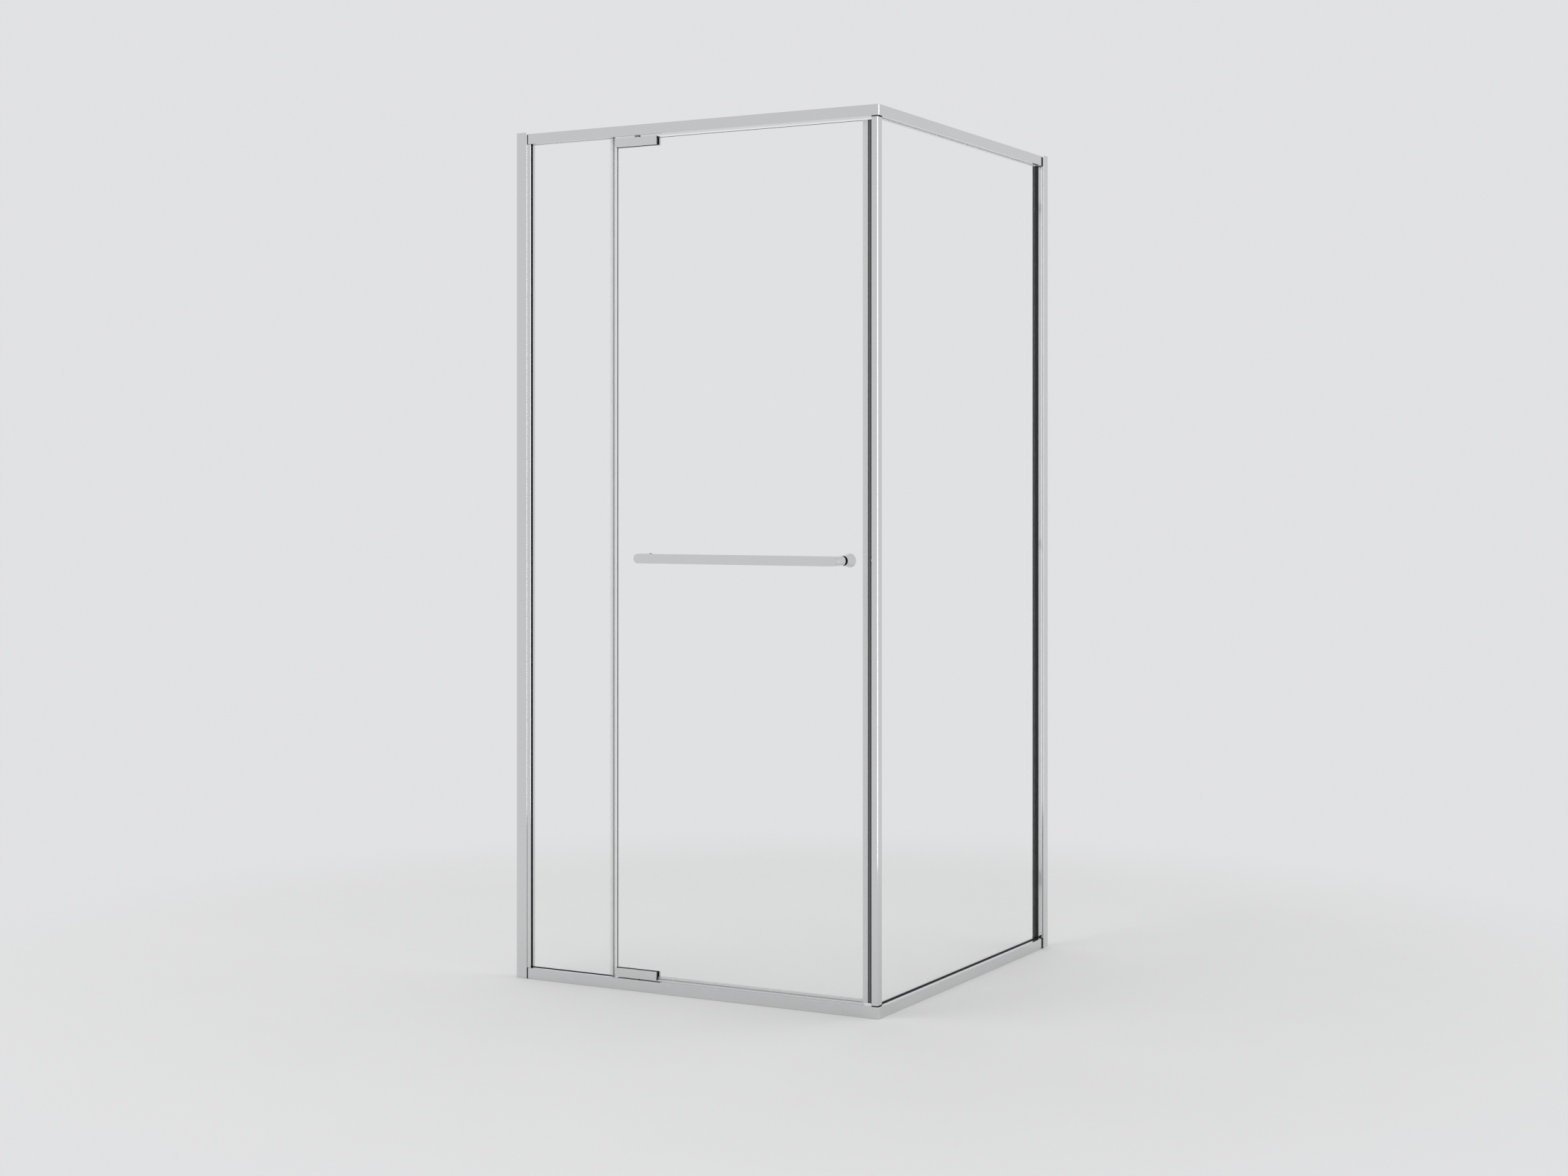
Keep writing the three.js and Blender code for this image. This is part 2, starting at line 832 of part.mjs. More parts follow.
// Chrome back plate with sunk screw holes
function backPlate(pivot) {
  const low = blockLow(pivot);
  const near = glassBack + backLining;
  const plate = slabFacingFront(plateOutline(low, low + pivotBlockHeight), near, blockBack);
  const height = clampScrewHeight(pivot);
  const holes = clampScrewPlaces().map((place) => turnedAlongY([
    [0, near - cutOverrun],
    [clampScrewRadius + slipGap, near - cutOverrun],
    [clampScrewRadius + slipGap, blockBack - clampHeadHeight - slipGap],
    [clampHeadRadius + slipGap, blockBack - clampHeadHeight - slipGap],
    [clampHeadRadius + slipGap, blockBack + cutOverrun],
    [0, blockBack + cutOverrun],
  ], screwSteps).translate(place, 0, height));
  return cut(plate, ...holes);
}

function clampScrew(pivot, place) {
  const crown = blockBack - turnedEdge / 2;
  const seat = crown - clampHeadHeight + turnedEdge / 2;
  const tip = crown - clampScrewLength;
  return turnedAlongY([
    [0, tip],
    [clampScrewRadius - turnedEdge, tip],
    [clampScrewRadius, tip + turnedEdge],
    [clampScrewRadius, seat],
    [clampHeadRadius, seat],
    [clampHeadRadius, crown - turnedEdge],
    [clampHeadRadius - turnedEdge, crown],
    [0, crown],
  ], screwSteps).translate(place, 0, clampScrewHeight(pivot));
}

// Black body that wraps the glass edge, fills the notch and holds the pin
function clampBody(pivot) {
  const low = blockLow(pivot);
  const high = low + pivotBlockHeight;
  const front = glassFront - frontLining + slipGap;
  const back = glassBack + backLining - slipGap;
  const left = doorGlassLeft;
  const right = left + pivotBlockLength;
  const body = block(left, right, front, back, low, high);
  const slotEdge = pivot.edge - pivot.inward * slipGap;
  const slotFar = pivot.edge + pivot.inward * (pivotBlockHeight + cutOverrun);
  const slot = block(
    left - cutOverrun,
    right + cutOverrun,
    glassFront - gasketFit,
    glassBack + gasketFit,
    Math.min(slotEdge, slotFar),
    Math.max(slotEdge, slotFar),
  );
  const core = cut(slot, glassNotch(pivot.edge, pivot.inward, slipGap));
  const height = clampScrewHeight(pivot);
  const bossEnd = glassFront - frontLining + plateBossLength + slipGap;
  const screwHoles = clampScrewPlaces().map((place) => turnedAlongY([
    [0, front - cutOverrun],
    [plateBossRadius + slipGap, front - cutOverrun],
    [plateBossRadius + slipGap, bossEnd],
    [clampScrewRadius + slipGap, bossEnd],
    [clampScrewRadius + slipGap, back + cutOverrun],
    [0, back + cutOverrun],
  ], screwSteps).translate(place, 0, height));
  return cut(body, core, ...screwHoles, pivotPinTool(pivot));
}

function pinProfile(radius, tip, top) {
  return [[0, tip], [radius - turnedEdge, tip], [radius, tip + turnedEdge], [radius, top], [0, top]];
}

// Places the turned pieces of a pivot, drawn from the rail's face upwards, at their end of the door
function atPivot(geometry, pivot) {
  const turn = pivot.inward > 0 ? 0 : Math.PI;
  return geometry.rotateX(turn).translate(pivotX, centreLine, pivot.face);
}

function pivotPin(pivot) {
  return atPivot(turnedUpright(pinProfile(pinRadius, -pinInRail, pivot.clearance + pinInBlock)), pivot);
}

function pivotPinTool(pivot) {
  const top = pivot.clearance + pinInBlock + seatGap;
  const profile = pinProfile(pinRadius + runningGap, -cutOverrun, top);
  return atPivot(turnedUpright(profile), pivot);
}

// Flanged bush in the rail's infill
function pivotBush(pivot) {
  const bore = pinRadius + runningGap;
  const outer = bore + bushWall;
  const flange = outer + bushFlangeReach;
  const seat = runningGap;
  const crown = seat + bushFlangeThickness;
  return atPivot(turnedUpright([
    [bore, -bushLength],
    [outer, -bushLength],
    [outer, seat],
    [flange, seat],
    [flange, crown],
    [bore, crown],
    [bore, -bushLength],
  ]), pivot);
}

// Flat-fronted bar with full round ends, drilled behind for the posts' spigots
function handleBar() {
  const radius = barHeight / 2 - barBevel;
  const shape = new THREE.Shape();
  shape.absarc(postAxisRight, handleHeight, radius, -Math.PI / 2, Math.PI / 2, false);
  shape.absarc(postAxisLeft, handleHeight, radius, Math.PI / 2, Math.PI * 1.5, false);
  const geometry = new THREE.ExtrudeGeometry(shape, {
    depth: barThickness - 2 * barBevel,
    curveSegments: roundSteps / 2,
    bevelThickness: barBevel,
    bevelSize: barBevel,
    bevelSegments: bevelSteps,
  });
  const rear = barFront + barThickness;
  const sockets = [postAxisLeft, postAxisRight].map((place) =>
    rodAlongY(spigotRadius + runningGap, rear - spigotLength - seatGap, rear + cutOverrun)
      .translate(place, 0, handleHeight));
  return cut(facingFront(geometry, rear - barBevel), ...sockets);
}

// Round post with a spigot into the bar and a stud through the glass
function handlePost(place, studEnd) {
  const rear = barFront + barThickness;
  const radius = barHeight / 2;
  return turnedAlongY([
    [0, rear - spigotLength],
    [spigotRadius, rear - spigotLength],
    [spigotRadius, rear + gasketFit],
    [radius, rear + gasketFit],
    [radius, washerFront - gasketFit - turnedEdge],
    [radius - turnedEdge, washerFront - gasketFit],
    [studRadius, washerFront - gasketFit],
    [studRadius, studEnd],
    [0, studEnd],
  ]).translate(place, 0, handleHeight);
}

// Black grommet: a washer before the glass and a sleeve through it
function handleGrommet(place) {
  const bore = studRadius + gasketFit;
  const sleeve = glassHoleRadius - slipGap;
  return turnedAlongY([
    [bore, washerFront],
    [barHeight / 2, washerFront],
    [barHeight / 2, glassFront - gasketFit],
    [sleeve, glassFront - gasketFit],
    [sleeve, glassBack],
    [bore, glassBack],
    [bore, washerFront],
  ]).translate(place, 0, handleHeight);
}

function handleBackWasher(place) {
  const bore = studRadius + gasketFit;
  const back = backWasherFront + backWasherThickness;
  return turnedAlongY([
    [bore, backWasherFront],
    [barHeight / 2, backWasherFront],
    [barHeight / 2, back],
    [bore, back],
    [bore, backWasherFront],
  ]).translate(place, 0, handleHeight);
}

// Flared knob on the inner side of the glass
function handleKnob() {
  const bore = studRadius + gasketFit;
  const back = knobFront + knobLength;
  return turnedAlongY([
    [0, knobFront + knobBoreDepth],
    [bore, knobFront + knobBoreDepth],
    [bore, knobFront],
    [barHeight / 2, knobFront],
    [knobRadius, back - knobEdgeRadius],
    [knobRadius - knobEdgeRadius, back],
    [0, back],
  ]).translate(postAxisRight, 0, handleHeight);
}

function handleCapNut() {
  const bore = studRadius + gasketFit;
  const back = knobFront + capNutLength;
  return turnedAlongY([
    [0, knobFront + capNutBoreDepth],
    [bore, knobFront + capNutBoreDepth],
    [bore, knobFront],
    [capNutRadius, knobFront],
    [capNutRadius, back - turnedEdge],
    [capNutRadius - turnedEdge, back],
    [0, back],
  ]).translate(postAxisLeft, 0, handleHeight);
}

// Fixed frame of the front run
function frontRun() {
  const group = new THREE.Group();
  const [lowScrew, highScrew] = channelScrewHeights();
  group.add(
    named("left_wall_jamb", wallJamb(), chrome()),
    named("left_glazing_channel", glazingChannel(wedgeOutside), chrome()),
    named("left_channel_screw_low", channelScrew(lowScrew), steel()),
    named("left_channel_screw_high", channelScrew(highScrew), steel()),
    named("left_gasket", uprightGasket(wedgeOutside), blackRubber()),
    named("left_sill_block", sillBlock(frontRailGap), blackNylon()),
    named("left_head_block", headBlock(frontRailGap), blackNylon()),
    named("front_sill", sillRail(frontRailGap), chrome()),
    named("front_head_rail", headRail(frontRailGap), chrome()),
    named("sill_infill", infill(sillFace, -1), chrome()),
    named("head_infill", infill(headFace, 1), chrome()),
    named("fixed_glass", fixedGlass(), clearGlass()),
    named("fixed_sill_gasket", fixedGlassGasket(sillFace, -1), blackRubber()),
    named("fixed_head_gasket", fixedGlassGasket(headFace, 1), greyVinyl()),
    named("inline_seal", inlineSeal(), clearVinyl()),
    named("sill_pivot_bush", pivotBush(sillPivot), paleNylon()),
    named("head_pivot_bush", pivotBush(headPivot), paleNylon()),
  );
  return group;
}

function sillBlock(end) {
  const low = seatGap;
  const high = sillHeight - seatGap;
  return endBlock(end, low, high, glassLow - seatGap, high + cutOverrun);
}

function headBlock(end) {
  const low = headFace + seatGap;
  const high = railTop - endBlockInset;
  return endBlock(end, low, high, low - cutOverrun, glassHigh + seatGap);
}

// Fixed frame of the side run: its wall pieces keep their place from the wall, its rails from the corner
function sideRun() {
  const group = new THREE.Group();
  const [lowScrew, highScrew] = channelScrewHeights();
  group.add(
    named("right_wall_jamb", mirroredFromWall(wallJamb()), chrome()),
    named("right_glazing_channel", mirroredFromWall(glazingChannel(wedgeInside)), chrome()),
    named("right_channel_screw_low", mirroredFromWall(channelScrew(lowScrew)), steel()),
    named("right_channel_screw_high", mirroredFromWall(channelScrew(highScrew)), steel()),
    named("right_gasket", mirroredFromWall(uprightGasket(wedgeInside)), blackRubber()),
    named("right_sill_block", mirroredFromWall(sillBlock(sideRailGap)), blackNylon()),
    named("right_head_block", mirroredFromWall(headBlock(sideRailGap)), blackNylon()),
    named("side_glass", mirroredFromWall(sideGlass()), clearGlass()),
    named("side_sill", mirroredFromCorner(sillRail(sideRailStart)), chrome()),
    named("side_head_rail", mirroredFromCorner(headRail(sideRailStart)), chrome()),
    named("side_sill_gasket", mirroredFromCorner(sideGasket(sillFace, -1)), blackRubber()),
    named("side_head_gasket", mirroredFromCorner(sideGasket(headFace, 1)), greyVinyl()),
  );
  return group;
}

function corner() {
  const group = new THREE.Group();
  const keyInset = railWall + seatGap;
  group.add(
    named("corner_post", cornerPost(), chrome()),
    named("post_gasket", postGasket(), blackRubber()),
    named("post_magnet_strip", postMagnet(), blackRubber()),
    named("sill_corner_key", cornerKey(keyInset, sillHeight - keyInset), keyMetal()),
    named("head_corner_key", cornerKey(headFace + keyInset, railTop - keyInset), keyMetal()),
  );
  return group;
}

function pivotBlock(name, pivot) {
  const group = new THREE.Group();
  const [hingeSide, closingSide] = clampScrewPlaces();
  group.add(
    named(`${name}_front_plate`, frontPlate(pivot), chrome()),
    named(`${name}_back_plate`, backPlate(pivot), chrome()),
    named(`${name}_clamp_body`, clampBody(pivot), blackNylon()),
    named(`${name}_pin`, pivotPin(pivot), steel()),
    named(`${name}_screw_1`, clampScrew(pivot, hingeSide), steel()),
    named(`${name}_screw_2`, clampScrew(pivot, closingSide), steel()),
  );
  return group;
}

function handle() {
  const group = new THREE.Group();
  const knobStudEnd = knobFront + knobBoreDepth - seatGap;
  const capStudEnd = knobFront + capNutBoreDepth - seatGap;
  group.add(
    named("handle_bar", handleBar(), chrome()),
    named("handle_post_hinge_side", handlePost(postAxisLeft, capStudEnd), chrome()),
    named("handle_post_closing_side", handlePost(postAxisRight, knobStudEnd), chrome()),
    named("handle_grommet_hinge_side", handleGrommet(postAxisLeft), blackRubber()),
    named("handle_grommet_closing_side", handleGrommet(postAxisRight), blackRubber()),
    named("handle_washer_hinge_side", handleBackWasher(postAxisLeft), blackRubber()),
    named("handle_washer_closing_side", handleBackWasher(postAxisRight), blackRubber()),
    named("handle_cap_nut", handleCapNut(), chrome()),
    named("handle_knob", handleKnob(), chrome()),
  );
  return group;
}

function door() {
  const group = new THREE.Group();
  group.add(
    named("door_glass", doorGlass(), clearGlass()),
    named("strike_strip", strikeStrip(), greyVinyl()),
    named("door_magnet_strip", doorMagnet(), blackRubber()),
    named("drip_seal", dripSeal(), clearVinyl()),
    pivotBlock("sill_pivot", sillPivot),
    pivotBlock("head_pivot", headPivot),
    handle(),
  );
  return group;
}

// The screen stands on the floor about the middle of its plan, handle included
const showerScreen = new THREE.Group();
showerScreen.add(frontRun(), sideRun(), corner(), door());
showerScreen.position.set(-overallWidth / 2, -(overallDepth + barFront) / 2, 0);

export default showerScreen;
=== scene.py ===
import json
import logging
import math
from collections.abc import Callable, Sequence
from dataclasses import dataclass, field
from enum import Enum
from itertools import pairwise

import bmesh
import bpy
from bpy.types import Material, Mesh, Node, NodeSocket, NodeTree, Object
from mathutils import Matrix, Vector

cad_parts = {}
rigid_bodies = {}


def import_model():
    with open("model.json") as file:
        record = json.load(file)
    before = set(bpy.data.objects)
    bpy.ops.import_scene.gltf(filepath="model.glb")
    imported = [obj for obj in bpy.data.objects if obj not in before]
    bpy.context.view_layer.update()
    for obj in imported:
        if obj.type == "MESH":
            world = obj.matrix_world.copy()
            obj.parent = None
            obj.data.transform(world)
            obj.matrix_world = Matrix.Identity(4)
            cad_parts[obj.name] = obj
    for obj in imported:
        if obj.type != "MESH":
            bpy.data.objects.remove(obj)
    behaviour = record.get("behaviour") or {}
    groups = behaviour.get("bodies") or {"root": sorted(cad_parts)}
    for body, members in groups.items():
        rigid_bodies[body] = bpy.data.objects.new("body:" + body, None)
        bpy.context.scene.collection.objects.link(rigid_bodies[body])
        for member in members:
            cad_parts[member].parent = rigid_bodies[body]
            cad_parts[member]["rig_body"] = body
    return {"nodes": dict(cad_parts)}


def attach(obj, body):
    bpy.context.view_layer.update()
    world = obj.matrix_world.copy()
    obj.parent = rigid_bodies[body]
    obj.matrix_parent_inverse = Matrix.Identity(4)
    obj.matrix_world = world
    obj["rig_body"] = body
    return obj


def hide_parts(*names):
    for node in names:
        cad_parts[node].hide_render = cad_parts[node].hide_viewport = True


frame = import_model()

log = logging.getLogger("shower_screen")

Colour = tuple[float, float, float]
Loop = list[tuple[float, float]]
Shape = bmesh.types.BMesh
Face = bmesh.types.BMFace

METRES = 0.001
PLAN_ORIGIN = Vector((-455.0, -441.0, 0.0))
# Short edges in a rounded corner, round a turned piece and round a small hole.
FINE_STEPS = 5
TURNED_STEPS = 72
SMALL_STEPS = 40
CREASE = math.radians(32.0)
# Usual softened edges, and the share of one that is gone halfway round it.
ARRIS = 0.2
SEAL_ARRIS = 0.15
HALFWAY = 0.29
# Roundings of a section's corners, from the keenest to the widest.
KEEN = 0.05
CRISP = 0.1
FINE = 0.2
GENTLE = 0.25
SOFT = 0.3
EASED = 0.35
ROUND = 0.4
FULL = 0.5
BROAD = 0.6
WIDE = 0.8
# Least share of its normal across a pane that a broad face has, and along a strip that an
# end face has.
FLAT = 0.95
ENDWISE = 0.5
# Keeps the moved point of a sharp corner from running far off.
LEAST_TURN = 0.2
# Tolerances, and how far a cutting tool reaches past its work.
WELD = 1e-4
HAIR = 1e-3
TINY = 1e-6
OVERRUN = 2.0
# Gaps between pieces, from a close fit to a free one.
FIT = 0.1
SLIP = 0.2
SEAT = 0.3


class Along(Enum):
    """Direction in which a section is drawn out, or about which a piece is turned."""

    WIDTH = "width"
    DEPTH = "depth"
    HEIGHT = "height"

    def place(self, first: float, second: float, run: float) -> Vector:
        """Gives the plan place of a section point at a distance along this direction.

        Args:
            first: The section's first measure.
            second: The section's second measure.
            run: Distance along the direction.

        Returns:
            The place, in plan millimetres.
        """
        if self is Along.WIDTH:
            return Vector((run, first, second))
        if self is Along.DEPTH:
            return Vector((first, run, second))
        return Vector((first, second, run))


class Run(Enum):
    """Which side of the corner a piece belongs to."""

    FRONT = "left"
    SIDE = "right"


class End(Enum):
    """Which end of the door a pivot holds."""

    SILL = "sill"
    HEAD = "head"

    @property
    def inward(self) -> int:
        """Returns 1 where the door lies above the rail and -1 where it lies below."""
        return 1 if self is End.SILL else -1


class Light(Enum):
    """What a lamp does: it washes matt surfaces, or draws a line of light in bright ones."""

    WASH = "wash"
    STRIP = "strip"


@dataclass(frozen=True)
class Setout:
    """Main lines of the screen in plan millimetres, from the wall corner of the front run."""

    width: float = 910.0
    depth: float = 918.0
    rail_top: float = 1900.0
    jamb_top: float = 1903.5
    head_face: float = 1877.0
    sill_face: float = 25.0
    frame_depth: float = 30.0
    groove_front: float = 8.0
    groove_back: float = 22.0
    groove_depth: float = 15.0
    glass_front: float = 12.0
    glass_back: float = 18.0
    centre: float = 15.0
    bite: float = 11.0
    post_left: float = 890.0
    post_right: float = 905.0
    post_front: float = 4.0
    post_back: float = 24.0
    fixed_left: float = 23.0
    fixed_right: float = 249.7
    side_glass_start: float = 9.3
    door_left: float = 259.5
    door_right: float = 877.0
    door_low: float = 29.4
    door_high: float = 1870.6
    pivot: float = 311.5
    pivot_block: float = 106.0
    notch_half: float = 30.0
    notch_depth: float = 12.0
    handle_height: float = 950.0
    handle_places: tuple[float, float] = (342.5, 817.5)
    magnet_half: float = 4.4
    magnet_round: float = 0.7
    front_rail_gap: float = 30.3
    side_rail_gap: float = 40.5

    @property
    def grip(self) -> tuple[float, float]:
        """Returns the depths between which a piece grips the glass."""
        return self.glass_front - FIT, self.glass_back + FIT

    @property
    def clear_height(self) -> tuple[float, float]:
        """Returns the foot and head of what stands between the sill and the head rail."""
        return self.sill_face + SEAT, self.head_face - SEAT

    @property
    def magnet_faces(self) -> tuple[float, float]:
        """Returns the front and back of the magnetic strips."""
        return self.centre - self.magnet_half, self.centre + self.magnet_half

    @property
    def glass_low(self) -> float:
        """Returns the foot of the fixed panes."""
        return self.sill_face - self.bite

    @property
    def glass_high(self) -> float:
        """Returns the head of the fixed panes."""
        return self.head_face + self.bite

    def rail_end(self, run: Run) -> float:
        """Returns the gap between a wall and its run's rails."""
        return self.front_rail_gap if run is Run.FRONT else self.side_rail_gap

    def rail_start(self, run: Run) -> float:
        """Returns where a run's rails start, from the place a screen's width off the corner."""
        return self.rail_end(run) + (0 if run is Run.FRONT else self.width - self.depth)

    def face(self, end: End) -> float:
        """Returns the height of the rail's face at one end of the door."""
        return self.sill_face if end is End.SILL else self.head_face

    def door_edge(self, end: End) -> float:
        """Returns the height of the door glass's edge at one end."""
        return self.door_low if end is End.SILL else self.door_high


def corner_points(before: Vector, corner: Vector, after: Vector, radius: float,
                  steps: int) -> Loop:
    """Rounds one corner of an outline.

    Args:
        before: The corner before this one.
        corner: The corner to round.
        after: The corner after this one.
        radius: Radius of the rounding.
        steps: Number of short edges in it.

    Returns:
        The points of the rounding, in order.
    """
    back, ahead = (before - corner).normalized(), (after - corner).normalized()
    half = math.acos(max(-1.0, min(1.0, back.dot(ahead)))) / 2
    middle = corner + (back + ahead).normalized() * (radius / math.sin(half))
    reach = radius / math.tan(half)
    start, end = corner + back * reach - middle, corner + ahead * reach - middle
    sweep = math.atan2(start.x * end.y - start.y * end.x, start.dot(end))
    points = []
    for step in range(steps + 1):
        turn = Matrix.Rotation(sweep * step / steps, 2)
        points.append(tuple(middle + turn @ start))
    return points


def outline(corners: Sequence[Sequence[float]], steps: int = FINE_STEPS) -> Loop:
    """Makes a closed outline.

    Args:
        corners: Corners as (a, b) or (a, b, radius).
        steps: Number of short edges in each rounded corner.

    Returns:
        The outline's points, in order.
    """
    flat = [Vector(corner[:2]) for corner in corners]
    points: Loop = []
    for index, corner in enumerate(corners):
        if len(corner) < 3 or corner[2] <= 0:
            points.append((corner[0], corner[1]))
            continue
        after = flat[(index + 1) % len(flat)]
        points += corner_points(flat[index - 1], flat[index], after, corner[2], steps)
    return points


def circle(centre: tuple[float, float], radius: float, steps: int = SMALL_STEPS) -> Loop:
    """Returns the points of a circle."""
    turns = [2 * math.pi * step / steps for step in range(steps)]
    return [(centre[0] + radius * math.cos(t), centre[1] + radius * math.sin(t)) for t in turns]


def box_loop(left: float, right: float, low: float, high: float, radius: float = 0.0) -> Loop:
    """Returns a rectangle with rounded corners."""
    corners = [(left, low), (right, low), (right, high), (left, high)]
    return outline([(*corner, radius) for corner in corners])


def inset(loop: Loop, amount: float) -> Loop:
    """Moves each edge of a loop into the area that it goes round.

    Args:
        loop: The loop's points.
        amount: Distance to move, or outwards where it is below zero.

    Returns:
        The points of the moved loop.
    """
    points = [Vector(point) for point in loop]
    count = len(points)
    doubled = sum(points[i - 1].x * points[i].y - points[i].x * points[i - 1].y
                  for i in range(count))
    side = 1.0 if doubled > 0 else -1.0
    moved: Loop = []
    for index, point in enumerate(points):
        before = (point - points[index - 1]).normalized()
        after = (points[(index + 1) % count] - point).normalized()
        first, second = Vector((-before.y, before.x)), Vector((-after.y, after.x))
        shift = (first + second) * (side * amount / max(LEAST_TURN, 1 + first.dot(second)))
        moved.append(tuple(point + shift))
    return moved


def arris_levels(low: float, high: float, arris: float) -> list[tuple[float, float]]:
    """Steps along a length whose two ends are softened.

    Args:
        low: Where the length starts.
        high: Where it ends.
        arris: Size of the softened edges.

    Returns:
        Pairs of a place and how far the section is drawn in there.
    """
    if arris <= 0:
        return [(low, 0.0), (high, 0.0)]
    steps = [(0.0, arris), (HALFWAY * arris, HALFWAY * arris), (arris, 0.0)]
    rising = [(low + place, shrink) for place, shrink in steps]
    falling = [(high - place, shrink) for place, shrink in reversed(steps)]
    return rising + falling


def closed_pairs(ring: Sequence) -> list[tuple]:
    """Returns each item of a ring with the one after it."""
    return list(zip(ring, [*ring[1:], ring[0]]))


def bridge(bm: Shape, near: Sequence, far: Sequence) -> None:
    """Joins two rings of vertices with faces. Either may be a single vertex.

    Args:
        bm: The shape that gets the faces.
        near: The first ring.
        far: The second ring.
    """
    if len(near) == 1 and len(far) == 1:
        return
    if len(near) == 1 or len(far) == 1:
        tip, ring = (near[0], far) if len(near) == 1 else (far[0], near)
        for first, second in closed_pairs(ring):
            bm.faces.new((tip, first, second))
        return
    for (a, b), (c, d) in zip(closed_pairs(near), closed_pairs(far)):
        bm.faces.new((a, b, d, c))


def cap(bm: Shape, rings: Sequence[Sequence]) -> None:
    """Closes the end of a length whose outline and openings are the given rings."""
    edges = [bm.edges.get(pair) for ring in rings for pair in closed_pairs(ring)]
    bmesh.ops.triangle_fill(bm, use_beauty=True, edges=edges)


def extruded(loops: Sequence[Loop], low: float, high: float, along: Along = Along.HEIGHT,
             arris: float = ARRIS) -> Shape:
    """Draws a section out to a length.

    Args:
        loops: The outline, and then any openings in it.
        low: Where the length starts.
        high: Where it ends.
        along: Its direction.
        arris: Size of the softened edges at its two ends.

    Returns:
        The closed shape, in plan millimetres.
    """
    bm = bmesh.new()
    ends: tuple[list, list] = ([], [])
    for number, loop in enumerate(loops):
        sign = 1 if number == 0 else -1
        rings = [[bm.verts.new(along.place(a, b, place)) for a, b in inset(loop, sign * shrink)]
                 for place, shrink in arris_levels(low, high, arris)]
        for near, far in pairwise(rings):
            bridge(bm, near, far)
        ends[0].append(rings[0])
        ends[1].append(rings[-1])
    for rings in ends:
        cap(bm, rings)
    bmesh.ops.recalc_face_normals(bm, faces=bm.faces)
    return bm


def drawn(corners: Sequence[Sequence[float]], low: float, high: float,
          along: Along = Along.HEIGHT, arris: float = ARRIS) -> Shape:
    """Returns a length whose section is the outline of the corners."""
    return extruded([outline(corners)], low, high, along, arris)


def turned(profile: Sequence[Sequence[float]], centre: tuple[float, float], along: Along,
           steps: int = TURNED_STEPS) -> Shape:
    """Turns a profile about an axis.

    Args:
        profile: Corners as (radius, place) or (radius, place, rounding), all the way round.
        centre: Where the axis crosses the section plane.
        along: Direction of the axis.
        steps: Number of faces round the axis.

    Returns:
        The closed shape, in plan millimetres.
    """
    bm = bmesh.new()
    rings = []
    for radius, place in outline(profile):
        points = circle(centre, radius, steps) if radius > TINY else [centre]
        rings.append([bm.verts.new(along.place(a, b, place)) for a, b in points])
    for near, far in closed_pairs(rings):
        bridge(bm, near, far)
    bmesh.ops.recalc_face_normals(bm, faces=bm.faces)
    return bm


def rod(radius: float, start: float, end: float, centre: tuple[float, float], along: Along,
        steps: int = SMALL_STEPS) -> Shape:
    """Returns a plain round tool for a hole."""
    return turned([(0, start), (radius, start), (radius, end), (0, end)], centre, along, steps)


def block(x: tuple[float, float], y: tuple[float, float], z: tuple[float, float],
          arris: float = 0.0) -> Shape:
    """Returns a block between two corners, with all its edges softened by the arris."""
    return extruded([box_loop(*x, *y, arris)], *z, arris=arris)


def in_scene(name: str, data: bpy.types.ID) -> Object:
    """Puts a new object into the scene.

    Args:
        name: Its name.
        data: Its mesh, light or camera.

    Returns:
        The object.
    """
    item = bpy.data.objects.new(name, data)
    bpy.context.scene.collection.objects.link(item)
    return item


def as_object(name: str, bm: Shape) -> Object:
    """Makes a shape into an object in the scene.

    Args:
        name: The object's name.
        bm: The shape, which is used up.

    Returns:
        The object.
    """
    mesh = bpy.data.meshes.new(name)
    bm.to_mesh(mesh)
    bm.free()
    return in_scene(name, mesh)


def second_finish(bm: Shape, chosen: Callable[[Face], bool]) -> Shape:
    """Gives some faces of a shape the second finish.

    Args:
        bm: The shape, which is changed.
        chosen: Tells whether a face gets it.

    Returns:
        The same shape.
    """
    bm.normal_update()
    for face in bm.faces:
        face.material_index = int(chosen(face))
    return bm


def ground_edge(face: Face) -> bool:
    """Tells whether a face belongs to the ground edge of a pane that faces the room."""
    return abs(face.normal.y) <= FLAT


def combined(body: Shape, tools: Sequence[Shape],
             operation: str = "DIFFERENCE") -> Shape:
    """Cuts tools from a body, or joins them to it.

    Args:
        body: The shape to work on.
        tools: The other shapes, which are used up.
        operation: DIFFERENCE, UNION or INTERSECT.

    Returns:
        The worked shape.
    """
    made = [as_object("workpiece", shape) for shape in (body, *tools)]
    for tool in made[1:]:
        modifier = made[0].modifiers.new("work", "BOOLEAN")
        modifier.operation = operation
        modifier.solver = "EXACT"
        modifier.object = tool
    evaluated = made[0].evaluated_get(bpy.context.evaluated_depsgraph_get())
    result = bmesh.new()
    worked = evaluated.to_mesh()
    result.from_mesh(worked)
    evaluated.to_mesh_clear()
    for piece in made:
        mesh = piece.data
        bpy.data.objects.remove(piece)
        bpy.data.meshes.remove(mesh)
    bmesh.ops.remove_doubles(result, verts=result.verts, dist=WELD)
    bmesh.ops.recalc_face_normals(result, faces=result.faces)
    return result


def mirrored(bm: Shape, width: float, far_end: float) -> Shape:
    """Turns a piece of the front run into its image in the side run.

    Args:
        bm: The piece, which is changed.
        width: Outer width of the screen.
        far_end: Distance that the piece's place along the front run is taken from.

    Returns:
        The same piece.
    """
    for vertex in bm.verts:
        vertex.co = Vector((width - vertex.co.y, far_end - vertex.co.x, vertex.co.z))
    bmesh.ops.reverse_faces(bm, faces=bm.faces)
    return bm


